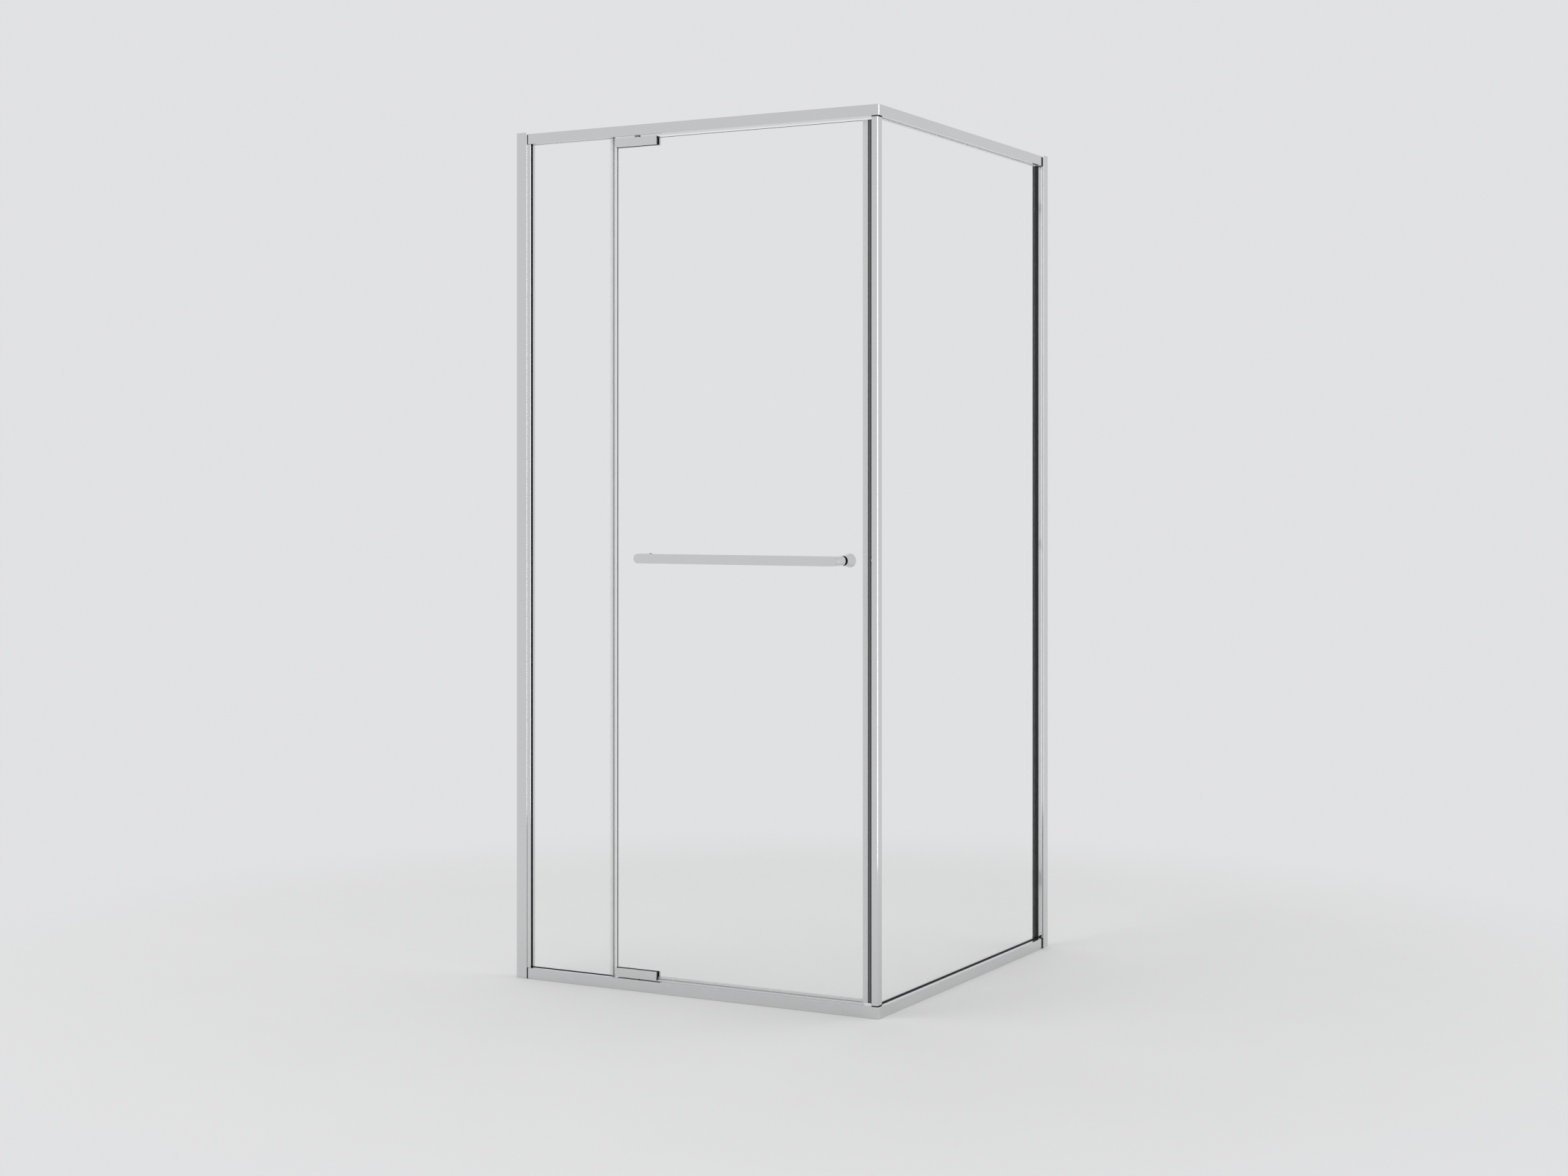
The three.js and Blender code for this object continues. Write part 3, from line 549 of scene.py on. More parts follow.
def cut_across(loop: Loop, depth: float) -> Loop:
    """Adds a point to a loop wherever it crosses a place.

    Args:
        loop: The loop's points.
        depth: The place, as the points' first measure.

    Returns:
        The loop with the added points.
    """
    points: Loop = []
    for (a, b), (c, d) in closed_pairs(loop):
        points.append((a, b))
        if (a - depth) * (c - depth) < 0:
            share = (depth - a) / (c - a)
            points.append((depth, b + share * (d - b)))
    return points


class Board:
    """A node tree with short ways to add nodes and feed their sockets."""

    def __init__(self, tree: NodeTree) -> None:
        """Keeps the tree that the nodes go into."""
        self.tree = tree

    def add(self, kind: str, **settings: object) -> Node:
        """Adds a node.

        Args:
            kind: Its type.
            settings: Its properties.

        Returns:
            The node.
        """
        node = self.tree.nodes.new(kind)
        for name, value in settings.items():
            setattr(node, name, value)
        return node

    def feed(self, socket: NodeSocket, value: object) -> None:
        """Links a socket to an output, or sets it to a constant.

        Args:
            socket: The input.
            value: The output or constant, or None to leave it alone.
        """
        if isinstance(value, NodeSocket):
            self.tree.links.new(value, socket)
        elif value is not None:
            socket.default_value = value

    def math(self, operation: str, first: object, second: object = None,
             third: object = None) -> NodeSocket:
        """Adds a math node.

        Args:
            operation: What it works out.
            first: Its first value.
            second: Its second value.
            third: Its third value.

        Returns:
            Its result.
        """
        node = self.add("ShaderNodeMath", operation=operation)
        for socket, value in zip(node.inputs, (first, second, third)):
            self.feed(socket, value)
        return node.outputs[0]

    def spread(self, value: object, low: float, high: float, to_low: float = 0.0,
               to_high: float = 1.0) -> NodeSocket:
        """Takes a value smoothly from one range to another.

        Args:
            value: The value.
            low: Foot of its range.
            high: Top of its range.
            to_low: Foot of the new range.
            to_high: Top of the new range.

        Returns:
            The new value.
        """
        node = self.add("ShaderNodeMapRange", interpolation_type="SMOOTHSTEP")
        names = ("Value", "From Min", "From Max", "To Min", "To Max")
        for name, given in zip(names, (value, low, high, to_low, to_high)):
            self.feed(node.inputs[name], given)
        return node.outputs[0]

    def noise(self, vector: object, scale: object, detail: float = 3.0) -> NodeSocket:
        """Adds a noise texture.

        Args:
            vector: Where it is read.
            scale: Its fineness.
            detail: How many finer layers it has.

        Returns:
            Its value.
        """
        node = self.add("ShaderNodeTexNoise")
        self.feed(node.inputs["Vector"], vector)
        self.feed(node.inputs["Scale"], scale)
        node.inputs["Detail"].default_value = detail
        return node.outputs[0]

    def use(self, group: NodeTree, **inputs: object) -> Node:
        """Places a node group.

        Args:
            group: The group.
            inputs: What feeds its inputs, by their names in lower case.

        Returns:
            The group's node.
        """
        node = self.add("ShaderNodeGroup", node_tree=group)
        for socket in node.inputs:
            self.feed(socket, inputs.get(socket.name.lower()))
        return node

    def blend(self, share: NodeSocket, first: Node, second: Node, output: Node) -> None:
        """Feeds a material's output a mix of two shaders.

        Args:
            share: The second one's share.
            first: The first shader.
            second: The second shader.
            output: The material's output.
        """
        mix = self.add("ShaderNodeMixShader")
        for socket, value in zip(mix.inputs, (share, first.outputs[0], second.outputs[0])):
            self.feed(socket, value)
        self.feed(output.inputs["Surface"], mix.outputs[0])


def start_material(name: str) -> tuple[Material, Board, NodeSocket, Node, Node]:
    """Starts a material.

    Args:
        name: Its name.

    Returns:
        The material, its board, the place on the surface, the shader and the output.
    """
    material = bpy.data.materials.new(name)
    material.use_nodes = True
    board, nodes = Board(material.node_tree), material.node_tree.nodes
    place = board.add("ShaderNodeTexCoord").outputs["Object"]
    return material, board, place, nodes["Principled BSDF"], nodes["Material Output"]


SOCKET_KINDS = {"Vector": "NodeSocketVector", "Stretch": "NodeSocketVector",
                "Colour": "NodeSocketColor"}


class Effects:
    """Shader node groups that the finishes share."""

    def __init__(self) -> None:
        """Builds each group once."""
        self.drawn_lines = self._drawn_lines()
        self.handling = self._handling()
        self.grain = self._grain()
        self.drift = self._drift()

    @staticmethod
    def _group(name: str, inputs: Sequence[str],
               outputs: Sequence[str]) -> tuple[Board, Node, Node]:
        """Starts a group, whose sockets are numbers where SOCKET_KINDS names no other kind.

        Args:
            name: The group's name.
            inputs: Names of its inputs.
            outputs: Names of its outputs.

        Returns:
            The group's board and its input and output nodes.
        """
        tree = bpy.data.node_groups.new(name, "ShaderNodeTree")
        for sockets, direction in ((inputs, "INPUT"), (outputs, "OUTPUT")):
            for socket in sockets:
                kind = SOCKET_KINDS.get(socket, "NodeSocketFloat")
                tree.interface.new_socket(socket, in_out=direction, socket_type=kind)
        board = Board(tree)
        return board, board.add("NodeGroupInput"), board.add("NodeGroupOutput")

    def _drawn_lines(self) -> NodeTree:
        """Makes fine lines that run along a drawn or turned metal surface.

        Returns:
            The group's tree.
        """
        board, given, made = self._group("drawn_lines", ("Vector", "Stretch"), ("Mask", "Height"))
        stretched = board.add("ShaderNodeVectorMath", operation="MULTIPLY")
        board.feed(stretched.inputs[0], given.outputs["Vector"])
        board.feed(stretched.inputs[1], given.outputs["Stretch"])
        fine = board.noise(stretched.outputs[0], 1.0, 4.0)
        broad = board.noise(stretched.outputs[0], 0.23, 2.0)
        board.feed(made.inputs["Height"], fine)
        shade = board.math("ADD", board.math("MULTIPLY", fine, 0.5),
                           board.math("MULTIPLY", broad, 0.5))
        board.feed(made.inputs["Mask"], board.spread(shade, 0.35, 0.65))
        return board.tree

    def _handling(self) -> NodeTree:
        """Makes faint cloudy marks, as hands and dried water leave on a smooth surface.

        Returns:
            The group's tree.
        """
        board, given, made = self._group("handling_marks", ("Vector", "Size"), ("Mask",))
        scale = board.math("DIVIDE", 1.0, given.outputs["Size"])
        cloud = board.noise(given.outputs["Vector"], scale, 5.0)
        patch = board.noise(given.outputs["Vector"], board.math("MULTIPLY", scale, 0.22), 1.0)
        clear = board.spread(cloud, 0.46, 0.72)
        where = board.spread(patch, 0.4, 0.7)
        drops = board.add("ShaderNodeTexVoronoi", feature="F1")
        board.feed(drops.inputs["Vector"], given.outputs["Vector"])
        board.feed(drops.inputs["Scale"], board.math("MULTIPLY", scale, 2.2))
        spot = board.spread(drops.outputs["Distance"], 0.08, 0.16, 0.5, 0.0)
        total = board.math("ADD", board.math("MULTIPLY", clear, where),
                           board.math("MULTIPLY", spot, where))
        board.feed(made.inputs["Mask"], board.math("MINIMUM", total, 1.0))
        return board.tree

    def _grain(self) -> NodeTree:
        """Makes the fine grain of a moulded or drawn plastic.

        Returns:
            The group's tree.
        """
        board, given, made = self._group("moulded_grain", ("Vector", "Size"), ("Mask", "Height"))
        scale = board.math("DIVIDE", 1.0, given.outputs["Size"])
        fine = board.noise(given.outputs["Vector"], scale, 3.0)
        pits = board.add("ShaderNodeTexVoronoi", feature="SMOOTH_F1")
        board.feed(pits.inputs["Vector"], given.outputs["Vector"])
        board.feed(pits.inputs["Scale"], board.math("MULTIPLY", scale, 0.7))
        height = board.math("MULTIPLY", board.math("ADD", fine, pits.outputs["Distance"]), 0.5)
        board.feed(made.inputs["Height"], height)
        board.feed(made.inputs["Mask"], board.spread(height, 0.3, 0.7))
        return board.tree

    def _drift(self) -> NodeTree:
        """Makes a colour that gets slightly lighter and darker over a surface.

        Returns:
            The group's tree.
        """
        board, given, made = self._group(
            "shade_drift", ("Vector", "Size", "Colour", "Amount"), ("Colour",))
        scale = board.math("DIVIDE", 1.0, given.outputs["Size"])
        cloud = board.noise(given.outputs["Vector"], scale, 4.0)
        centred = board.math("SUBTRACT", cloud, 0.5)
        factor = board.math("MULTIPLY_ADD", centred, given.outputs["Amount"], 1.0)
        scaled = board.add("ShaderNodeVectorMath", operation="SCALE")
        board.feed(scaled.inputs[0], given.outputs["Colour"])
        board.feed(scaled.inputs["Scale"], factor)
        board.feed(made.inputs["Colour"], scaled.outputs[0])
        return board.tree


@dataclass(frozen=True)
class Finish:
    """A finish and the material slot that it belongs to.

    Args:
        name: The material's name.
        slot: Name of the material slot; not used.
        colour: Its plain colour, linear.
        roughness: Its lowest roughness.
    """

    name: str
    slot: str
    colour: Colour
    roughness: float

    def _start(self) -> tuple[Material, Board, NodeSocket, Node, Node]:
        """Starts the material in its plain colour.

        Returns:
            The material, its board, the place on the surface, the shader and the output.
        """
        material, board, place, shader, output = start_material(self.name)
        material.diffuse_color = (*self.colour, 1.0)
        shader.inputs["Base Color"].default_value = (*self.colour, 1.0)
        return material, board, place, shader, output

    def _tint(self, board: Board, place: NodeSocket, shader: Node, size: float,
              amount: float) -> None:
        """Feeds the shader a colour that drifts over the surface.

        Args:
            board: The material's board.
            place: The place on the surface.
            shader: The shader.
            size: Size of the drift's clouds in metres.
            amount: How far the colour drifts.
        """
        node = board.use(EFFECTS.drift, vector=place, size=size, colour=(*self.colour, 1.0),
                         amount=amount)
        board.feed(shader.inputs["Base Color"], node.outputs[0])

    @staticmethod
    def _bump(board: Board, shader: Node, height: NodeSocket, depth: float,
              strength: float) -> None:
        """Feeds the shader a bumped normal.

        Args:
            board: The material's board.
            shader: The shader.
            height: The relief.
            depth: Its depth in metres.
            strength: How strongly it shows.
        """
        bump = board.add("ShaderNodeBump")
        bump.inputs["Strength"].default_value = strength
        bump.inputs["Distance"].default_value = depth
        board.feed(bump.inputs["Height"], height)
        board.feed(shader.inputs["Normal"], bump.outputs[0])

    def make(self) -> Material:
        """Builds the material. Each kind of finish has its own way."""
        raise NotImplementedError


@dataclass(frozen=True)
class Metal(Finish):
    """Polished, drawn or turned metal.

    Args:
        stretch: How quickly the drawn lines change along each direction.
        lines: How much the lines roughen the surface.
        marks: How much handling marks roughen it.
        drift: How much the colour drifts.
        depth: Depth of the lines in metres.
        relief: How strongly the lines show.
        cloud: Size of the drift's clouds in metres.
        mark_size: Size of the handling marks in metres.
    """

    stretch: tuple[float, float, float] = (700.0, 700.0, 700.0)
    lines: float = 0.03
    marks: float = 0.05
    drift: float = 0.03
    depth: float = 0.000004
    relief: float = 0.5
    cloud: float = 0.12
    mark_size: float = 0.035

    def make(self) -> Material:
        """Builds the material: lines and marks in its roughness, lines in its relief.

        Returns:
            The material.
        """
        material, board, place, shader, _ = self._start()
        shader.inputs["Metallic"].default_value = 1.0
        self._tint(board, place, shader, self.cloud, self.drift)
        lines = board.use(EFFECTS.drawn_lines, vector=place, stretch=self.stretch)
        marks = board.use(EFFECTS.handling, vector=place, size=self.mark_size)
        rough = board.math("MULTIPLY_ADD", lines.outputs["Mask"], self.lines, self.roughness)
        rough = board.math("MULTIPLY_ADD", marks.outputs["Mask"], self.marks, rough)
        board.feed(shader.inputs["Roughness"], rough)
        self._bump(board, shader, lines.outputs["Height"], self.depth, self.relief)
        return material


@dataclass(frozen=True)
class Plastic(Finish):
    """Rubber, nylon or vinyl.

    Args:
        grain: Size of its grain in metres.
        depth: Depth of the grain in metres.
        uneven: How much the grain roughens it.
        drift: How much the colour drifts.
        alpha: How much it covers what is behind it.
        ior: Its refractive index.
        shine: Its specular level.
        relief: How strongly the grain shows.
        cloud: Size of the drift's clouds in metres.
        mark_size: Size of the handling marks in metres.
        marks: How much the marks cover where it is clear.
    """

    grain: float = 0.0006
    depth: float = 0.00002
    uneven: float = 0.12
    drift: float = 0.1
    alpha: float = 1.0
    ior: float = 1.48
    shine: float = 0.5
    relief: float = 0.6
    cloud: float = 0.05
    mark_size: float = 0.02
    marks: float = 0.03

    def make(self) -> Material:
        """Builds the material: grain in its roughness and relief, and a drifting colour.

        Returns:
            The material.
        """
        material, board, place, shader, _ = self._start()
        shader.inputs["IOR"].default_value = self.ior
        shader.inputs["Specular IOR Level"].default_value = self.shine
        self._tint(board, place, shader, self.cloud, self.drift)
        grain = board.use(EFFECTS.grain, vector=place, size=self.grain)
        rough = board.math("MULTIPLY_ADD", grain.outputs["Mask"], self.uneven, self.roughness)
        board.feed(shader.inputs["Roughness"], rough)
        self._bump(board, shader, grain.outputs["Height"], self.depth, self.relief)
        if self.alpha < 1:
            marks = board.use(EFFECTS.handling, vector=place, size=self.mark_size)
            cover = board.math("MULTIPLY_ADD", marks.outputs["Mask"], self.marks, self.alpha)
            board.feed(shader.inputs["Alpha"], cover)
        return material


@dataclass(frozen=True)
class Glass(Finish):
    """Clear toughened glass, whose low index hardly shifts what lies behind it.

    Args:
        ior: Its refractive index.
        drift: How much the colour drifts.
        cloud: Size of the drift's clouds in metres.
        marks: How much handling marks roughen it.
        mark_size: Size of the handling marks in metres.
        waves: How many waves of its relief go into a metre.
        depth: Depth of the waves in metres.
        relief: How strongly the waves show.
    """

    ior: float = 1.12
    drift: float = 0.008
    cloud: float = 0.4
    marks: float = 0.012
    mark_size: float = 0.06
    waves: float = 5.0
    depth: float = 0.0002
    relief: float = 0.15

    def make(self) -> Material:
        """Builds the material: slow waves in its relief and faint marks in its roughness.

        Returns:
            The material.
        """
        material, board, place, shader, output = self._start()
        shader.inputs["Transmission Weight"].default_value = 1.0
        shader.inputs["Metallic"].default_value = 0.0
        shader.inputs["IOR"].default_value = self.ior
        self._tint(board, place, shader, self.cloud, self.drift)
        marks = board.use(EFFECTS.handling, vector=place, size=self.mark_size)
        rough = board.math("MULTIPLY_ADD", marks.outputs["Mask"], self.marks, self.roughness)
        board.feed(shader.inputs["Roughness"], rough)
        self._bump(board, shader, board.noise(place, self.waves, 1.0), self.depth, self.relief)
        path = board.add("ShaderNodeLightPath")
        clear = board.add("ShaderNodeBsdfTransparent")
        board.blend(path.outputs["Is Shadow Ray"], shader, clear, output)
        return material


EFFECTS = Effects()

PROFILE_COLOUR: Colour = (0.71, 0.712, 0.72)
BLACK: Colour = (0.006, 0.006, 0.0065)
ACROSS, RUNNING = 900.0, 3.0

PROFILE_UPRIGHT = Metal("bright_profile_upright", "bright_profile", PROFILE_COLOUR, 0.06,
                        stretch=(ACROSS, ACROSS, RUNNING))
PROFILE_FRONT = Metal("bright_profile_front", "bright_profile", PROFILE_COLOUR, 0.06,
                      stretch=(RUNNING, ACROSS, ACROSS))
PROFILE_SIDE = Metal("bright_profile_side", "bright_profile", PROFILE_COLOUR, 0.06,
                     stretch=(ACROSS, RUNNING, ACROSS))
CHROME = Metal("chrome_fitting", "chrome_fitting", (0.715, 0.717, 0.722), 0.035,
               stretch=(260.0, 260.0, 260.0), lines=0.015, depth=0.000002)
STEEL = Metal("steel_fastener", "steel_fastener", (0.52, 0.525, 0.53), 0.2,
              stretch=(1500.0, 300.0, 1500.0), lines=0.14, depth=0.00001)
KEY_METAL = Metal("key_metal", "key_metal", (0.42, 0.425, 0.43), 0.42,
                  stretch=(600.0, 600.0, 600.0), lines=0.2, drift=0.12, depth=0.00004)
RUBBER = Plastic("black_rubber", "black_rubber", BLACK, 0.45, uneven=0.06, depth=0.00001,
                 shine=0.22)
# The strips' noses are painted grey: a painted highlight for the grey line where the two black
# magnetic strips meet.
MAGNET_NOSE_HIGHLIGHT = Plastic("magnet_nose_painted_highlight", "black_rubber", (0.2, 0.206, 0.194), 0.4, grain=0.0004,
                 shine=0.3)
NYLON = Plastic("black_nylon", "black_nylon", (0.009, 0.009, 0.01), 0.34, grain=0.0009,
                depth=0.00002, shine=0.25)
GREY_VINYL = Plastic("grey_vinyl", "grey_vinyl", (0.63, 0.635, 0.64), 0.24, grain=0.0012,
                     depth=0.000004, uneven=0.06, drift=0.03)
# Grey of the head gaskets, made lighter than the gasket's own grey: painted light that offsets the
# shade under the head rail.
LIFTED_GREY_GASKET = Plastic("grey_gasket_painted_light", "grey_vinyl", (0.8, 0.802, 0.805), 0.4, grain=0.001,
                      depth=0.000008, uneven=0.08, drift=0.05, shine=0.3)
CLEAR_VINYL = Plastic("clear_vinyl", "clear_vinyl", (0.66, 0.67, 0.66), 0.14, grain=0.0015,
                      depth=0.000004, uneven=0.05, drift=0.02, alpha=0.2)
PALE_NYLON = Plastic("pale_nylon", "pale_nylon", (0.66, 0.66, 0.64), 0.36, grain=0.0008)
CLEAR_GLASS = Glass("clear_glass", "clear_glass", (0.985, 0.992, 0.988), 0.0)
GLASS_EDGE = Plastic("glass_edge", "clear_glass", (0.22, 0.28, 0.25), 0.16, grain=0.002,
                     depth=0.00001, uneven=0.08, drift=0.15, ior=1.5, shine=0.4)


@dataclass
class Finishes:
    """Builds each finish once and hands out its material."""

    made: dict[str, Material] = field(default_factory=dict)

    def material(self, finish: Finish) -> Material:
        """Hands out a finish's material, which is built on its first use.

        Args:
            finish: The finish.

        Returns:
            Its material.
        """
        if finish.name not in self.made:
            self.made[finish.name] = finish.make()
        return self.made[finish.name]


@dataclass
class SubAssembly:
    """A part of the screen that is made and dressed together.

    Args:
        setout: Main lines of the screen.
        finishes: The materials.
        pieces: The finished pieces.
    """

    setout: Setout
    finishes: Finishes
    pieces: list[Object] = field(default_factory=list)

    def dress(self, bm: Shape, node: str, *finishes: Finish) -> Object:
        """Makes a shape into a finished piece in the place of a CAD node.

        Args:
            bm: The shape in plan millimetres, which is used up.
            node: The CAD node that the piece stands for.
            finishes: Its finishes, in the order of the faces' material numbers.

        Returns:
            The piece.
        """
        bm.transform(Matrix.Scale(METRES, 4) @ Matrix.Translation(PLAN_ORIGIN))
        piece = as_object(f"{node}_shown", bm)
        mesh = piece.data
        mesh.shade_smooth()
        mesh.set_sharp_from_angle(angle=CREASE)
        for finish in finishes:
            mesh.materials.append(self.finishes.material(finish))
        weighted = piece.modifiers.new("even_shading", "WEIGHTED_NORMAL")
        weighted.keep_sharp = True
        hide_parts(node)
        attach(piece, frame["nodes"][node]["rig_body"])
        self.pieces.append(piece)
        log.info("%s: %s, %d faces", type(self).__name__, piece.name, len(mesh.polygons))
        return piece

    def build(self) -> None:
        """Makes the pieces. Each sub-assembly has its own way."""
        raise NotImplementedError


@dataclass
class WallSide(SubAssembly):
    """What stands against one wall: jamb, glazing channel, screws, gasket and end blocks."""

    run: Run = Run.FRONT
    jamb_width: float = 27.0
    wall: float = 1.6
    lip: float = 0.6
    channel_start: float = 8.0
    channel_mouth: float = 36.0
    channel_front: float = 2.0
    screw_place: float = 21.0
    screw_inset: float = 150.0
    screw_radius: float = 2.0
    head_radius: float = 3.8
    head_height: float = 2.2
    head_round: float = 1.3
    screw_reach: float = 6.0
    recess: float = 1.4
    wall_hole: float = 2.75
    countersink: float = 1.4
    short_mouth: float = 31.0
    lip_gap: float = 0.6
    gasket_base: float = 9.0
    gasket_half: float = 5.5
    gasket_round: float = 1.0
    head_drop: float = 1.0
    slot_run: float = 1.0

    @property
    def rail_end(self) -> float:
        """Returns where this side's rails end, from the wall."""
        return self.setout.rail_end(self.run)

    @property
    def heights(self) -> tuple[float, float]:
        """Returns the heights of the channel screws."""
        return self.screw_inset, self.setout.rail_top - self.screw_inset

    def place(self, bm: Shape, node: str, finish: Finish) -> None:
        """Dresses a piece drawn for the front run, on this side of the corner.

        Args:
            bm: The piece, which is used up.
            node: Its CAD node without the word for the side.
            finish: Its finish.
        """
        if self.run is Run.SIDE:
            bm = mirrored(bm, self.setout.width, self.setout.depth)
        self.dress(bm, f"{self.run.value}_{node}", finish)

    def build(self) -> None:
        """Makes the wall side's seven pieces."""
        self.place(self.jamb(), "wall_jamb", PROFILE_UPRIGHT)
        self.place(self.channel(), "glazing_channel", PROFILE_UPRIGHT)
        for height, word in zip(self.heights, ("low", "high")):
            self.place(self.screw(height), f"channel_screw_{word}", STEEL)
        self.place(self.gasket(), "gasket", RUBBER)
        s = self.setout
        # The black end blocks are real end plugs whose black also paints the shade in the gap
        # between the jamb and the rail's end.
        self.place(self.end_block(SEAT, s.sill_face - SEAT, s.glass_low - SEAT,
                                  s.sill_face + self.slot_run), "sill_block", NYLON)
        self.place(self.end_block(s.head_face + SEAT, s.rail_top - self.head_drop,
                                  s.head_face - self.slot_run, s.glass_high + SEAT),
                   "head_block", NYLON)

    def jamb(self) -> Shape:
        """Makes the open channel that is fixed to the wall, with its holes.

        Returns:
            The jamb.
        """
        s, w, edge = self.setout, self.wall, self.jamb_width
        section = outline([
            (0, 0, FINE), (edge, 0, self.lip), (edge, w, SOFT), (w, w, SOFT),
            (w, s.frame_depth - w, SOFT), (edge, s.frame_depth - w, SOFT),
            (edge, s.frame_depth, self.lip), (0, s.frame_depth, FINE),
        ])
        body = extruded([section], 0, s.jamb_top, arris=GENTLE)
        tools = []
        for height in (self.screw_inset, s.jamb_top / 2, s.jamb_top - self.screw_inset):
            hole, sunk = self.wall_hole, self.countersink
            tools.append(turned([
                (0, -OVERRUN), (hole, -OVERRUN), (hole, w - sunk), (hole + sunk, w),
                (hole + sunk, w + OVERRUN), (0, w + OVERRUN),
            ], (s.centre, height), Along.WIDTH, SMALL_STEPS))
        tools += self.screw_holes(SLIP)
        return combined(body, tools)

    def screw_holes(self, clearance: float) -> list[Shape]:
        """Makes the tools for the channel screws' holes.

        Args:
            clearance: Room round each screw.

        Returns:
            The tools.
        """
        s = self.setout
        reach = (s.frame_depth - self.screw_reach, s.frame_depth + OVERRUN)
        return [rod(self.screw_radius + clearance, *reach, (self.screw_place, height),
                    Along.DEPTH) for height in self.heights]

    def handed(self, corners: Sequence[Sequence[float]]) -> Loop:
        """Makes an outline whose wedge side lies outside in one run and inside in the other.

        Args:
            corners: Corners as (a, b) or (a, b, radius), with the wedge side outside.

        Returns:
            The outline's points, in order.
        """
        if self.run is Run.SIDE:
            deep = self.setout.frame_depth
            corners = [(corner[0], deep - corner[1], *corner[2:]) for corner in corners]
        return outline(corners)

    def channel(self) -> Shape:
        """Makes the channel that slides in the jamb, with its short flange turned in.

        Returns:
            The channel.
        """
        s, w = self.setout, self.wall
        front, back = self.channel_front, s.frame_depth - self.channel_front
        left, mouth, short = self.channel_start, self.channel_mouth, self.short_mouth
        lip = s.glass_back + self.lip_gap
        section = self.handed([
            (left, front, ROUND), (mouth, front, self.lip), (mouth, front + w, ROUND),
            (left + w, front + w, SOFT), (left + w, back - w, SOFT), (short - w, back - w, SOFT),
            (short - w, lip, SOFT), (short, lip, FULL), (short, back, self.lip),
            (left, back, ROUND),
        ])
        body = extruded([section], *s.clear_height)
        return combined(body, self.screw_holes(FIT))

    def screw(self, height: float) -> Shape:
        """Makes a pan-head screw with a crossed recess.

        Args:
            height: Its place up the jamb.

        Returns:
            The screw.
        """
        seat = self.setout.frame_depth + FIT
        crown, tip = seat + self.head_height, seat - FIT - self.screw_reach
        body = turned([
            (0, tip), (self.screw_radius, tip, FULL), (self.screw_radius, seat, CRISP),
            (self.head_radius, seat, FINE), (self.head_radius, crown, self.head_round), (0, crown),
        ], (self.screw_place, height), Along.DEPTH, SMALL_STEPS)
        return combined(body, [cross_recess((self.screw_place, height), crown, self.recess)])

    def gasket(self) -> Shape:
        """Makes the upright gasket that cups the glass edge: a wedge and a thin leg.

        Returns:
            The gasket.
        """
        s, mouth = self.setout, self.channel_mouth
        head, base = mouth - self.gasket_base, s.fixed_left - self.gasket_base
        front = self.channel_front + self.wall + SLIP
        inner, leg = s.fixed_left - SLIP, self.short_mouth - self.wall - SLIP
        near, far = s.centre - self.gasket_half, s.centre + self.gasket_half
        before, behind = s.grip
        section = self.handed([
            (base, near, FULL), (head, near, FINE), (head, front, SOFT),
            (mouth, front, self.gasket_round), (mouth, before, ROUND), (inner, before),
            (inner, behind), (leg, behind, SOFT), (leg, far, ROUND), (base, far, FULL),
        ])
        return extruded([section], *s.clear_height)

    def end_block(self, low: float, high: float, slot_low: float,
                  slot_high: float) -> Shape:
        """Makes the black end plug between the wall and a rail's end, whose black also paints the
        shade in that gap.

        Args:
            low: Its foot.
            high: Its head.
            slot_low: Foot of the slot for the glass corner.
            slot_high: Head of that slot.

        Returns:
            The block.
        """
        s = self.setout
        sides = (self.channel_front, s.frame_depth - self.channel_front)
        body = block((self.channel_front, self.rail_end - SEAT), sides, (low, high), arris=EASED)
        slot = block((s.fixed_left - SEAT, self.rail_end + OVERRUN),
                     (s.glass_front - SEAT, s.glass_back + SEAT), (slot_low, slot_high))
        return combined(body, [slot])


def cross_recess(centre: tuple[float, float], crown: float, depth: float) -> Shape:
    """Makes the tool for a crossed driver recess in a screw head.

    Args:
        centre: The screw's place across its axis.
        crown: Where the head ends along it.
        depth: Depth of the recess.

    Returns:
        The tool.
    """
    arm, half = 2.1, 0.45
    corners = []
    for turn in range(4):
        angle = turn * math.pi / 2
        for a, b in ((half, half), (arm, half), (arm, -half)):
            corners.append((centre[0] + a * math.cos(angle) + b * math.sin(angle),
                            centre[1] - a * math.sin(angle) + b * math.cos(angle)))
    return extruded([corners], crown - depth, crown + OVERRUN, Along.DEPTH, arris=0.0)


def hex_socket(centre: tuple[float, float], crown: float, depth: float,
               radius: float) -> Shape:
    """Returns the tool for a six-sided key socket in a screw head that faces the room."""
    return extruded([circle(centre, radius, 6)], crown - depth, crown + OVERRUN, Along.DEPTH,
                    arris=0.0)


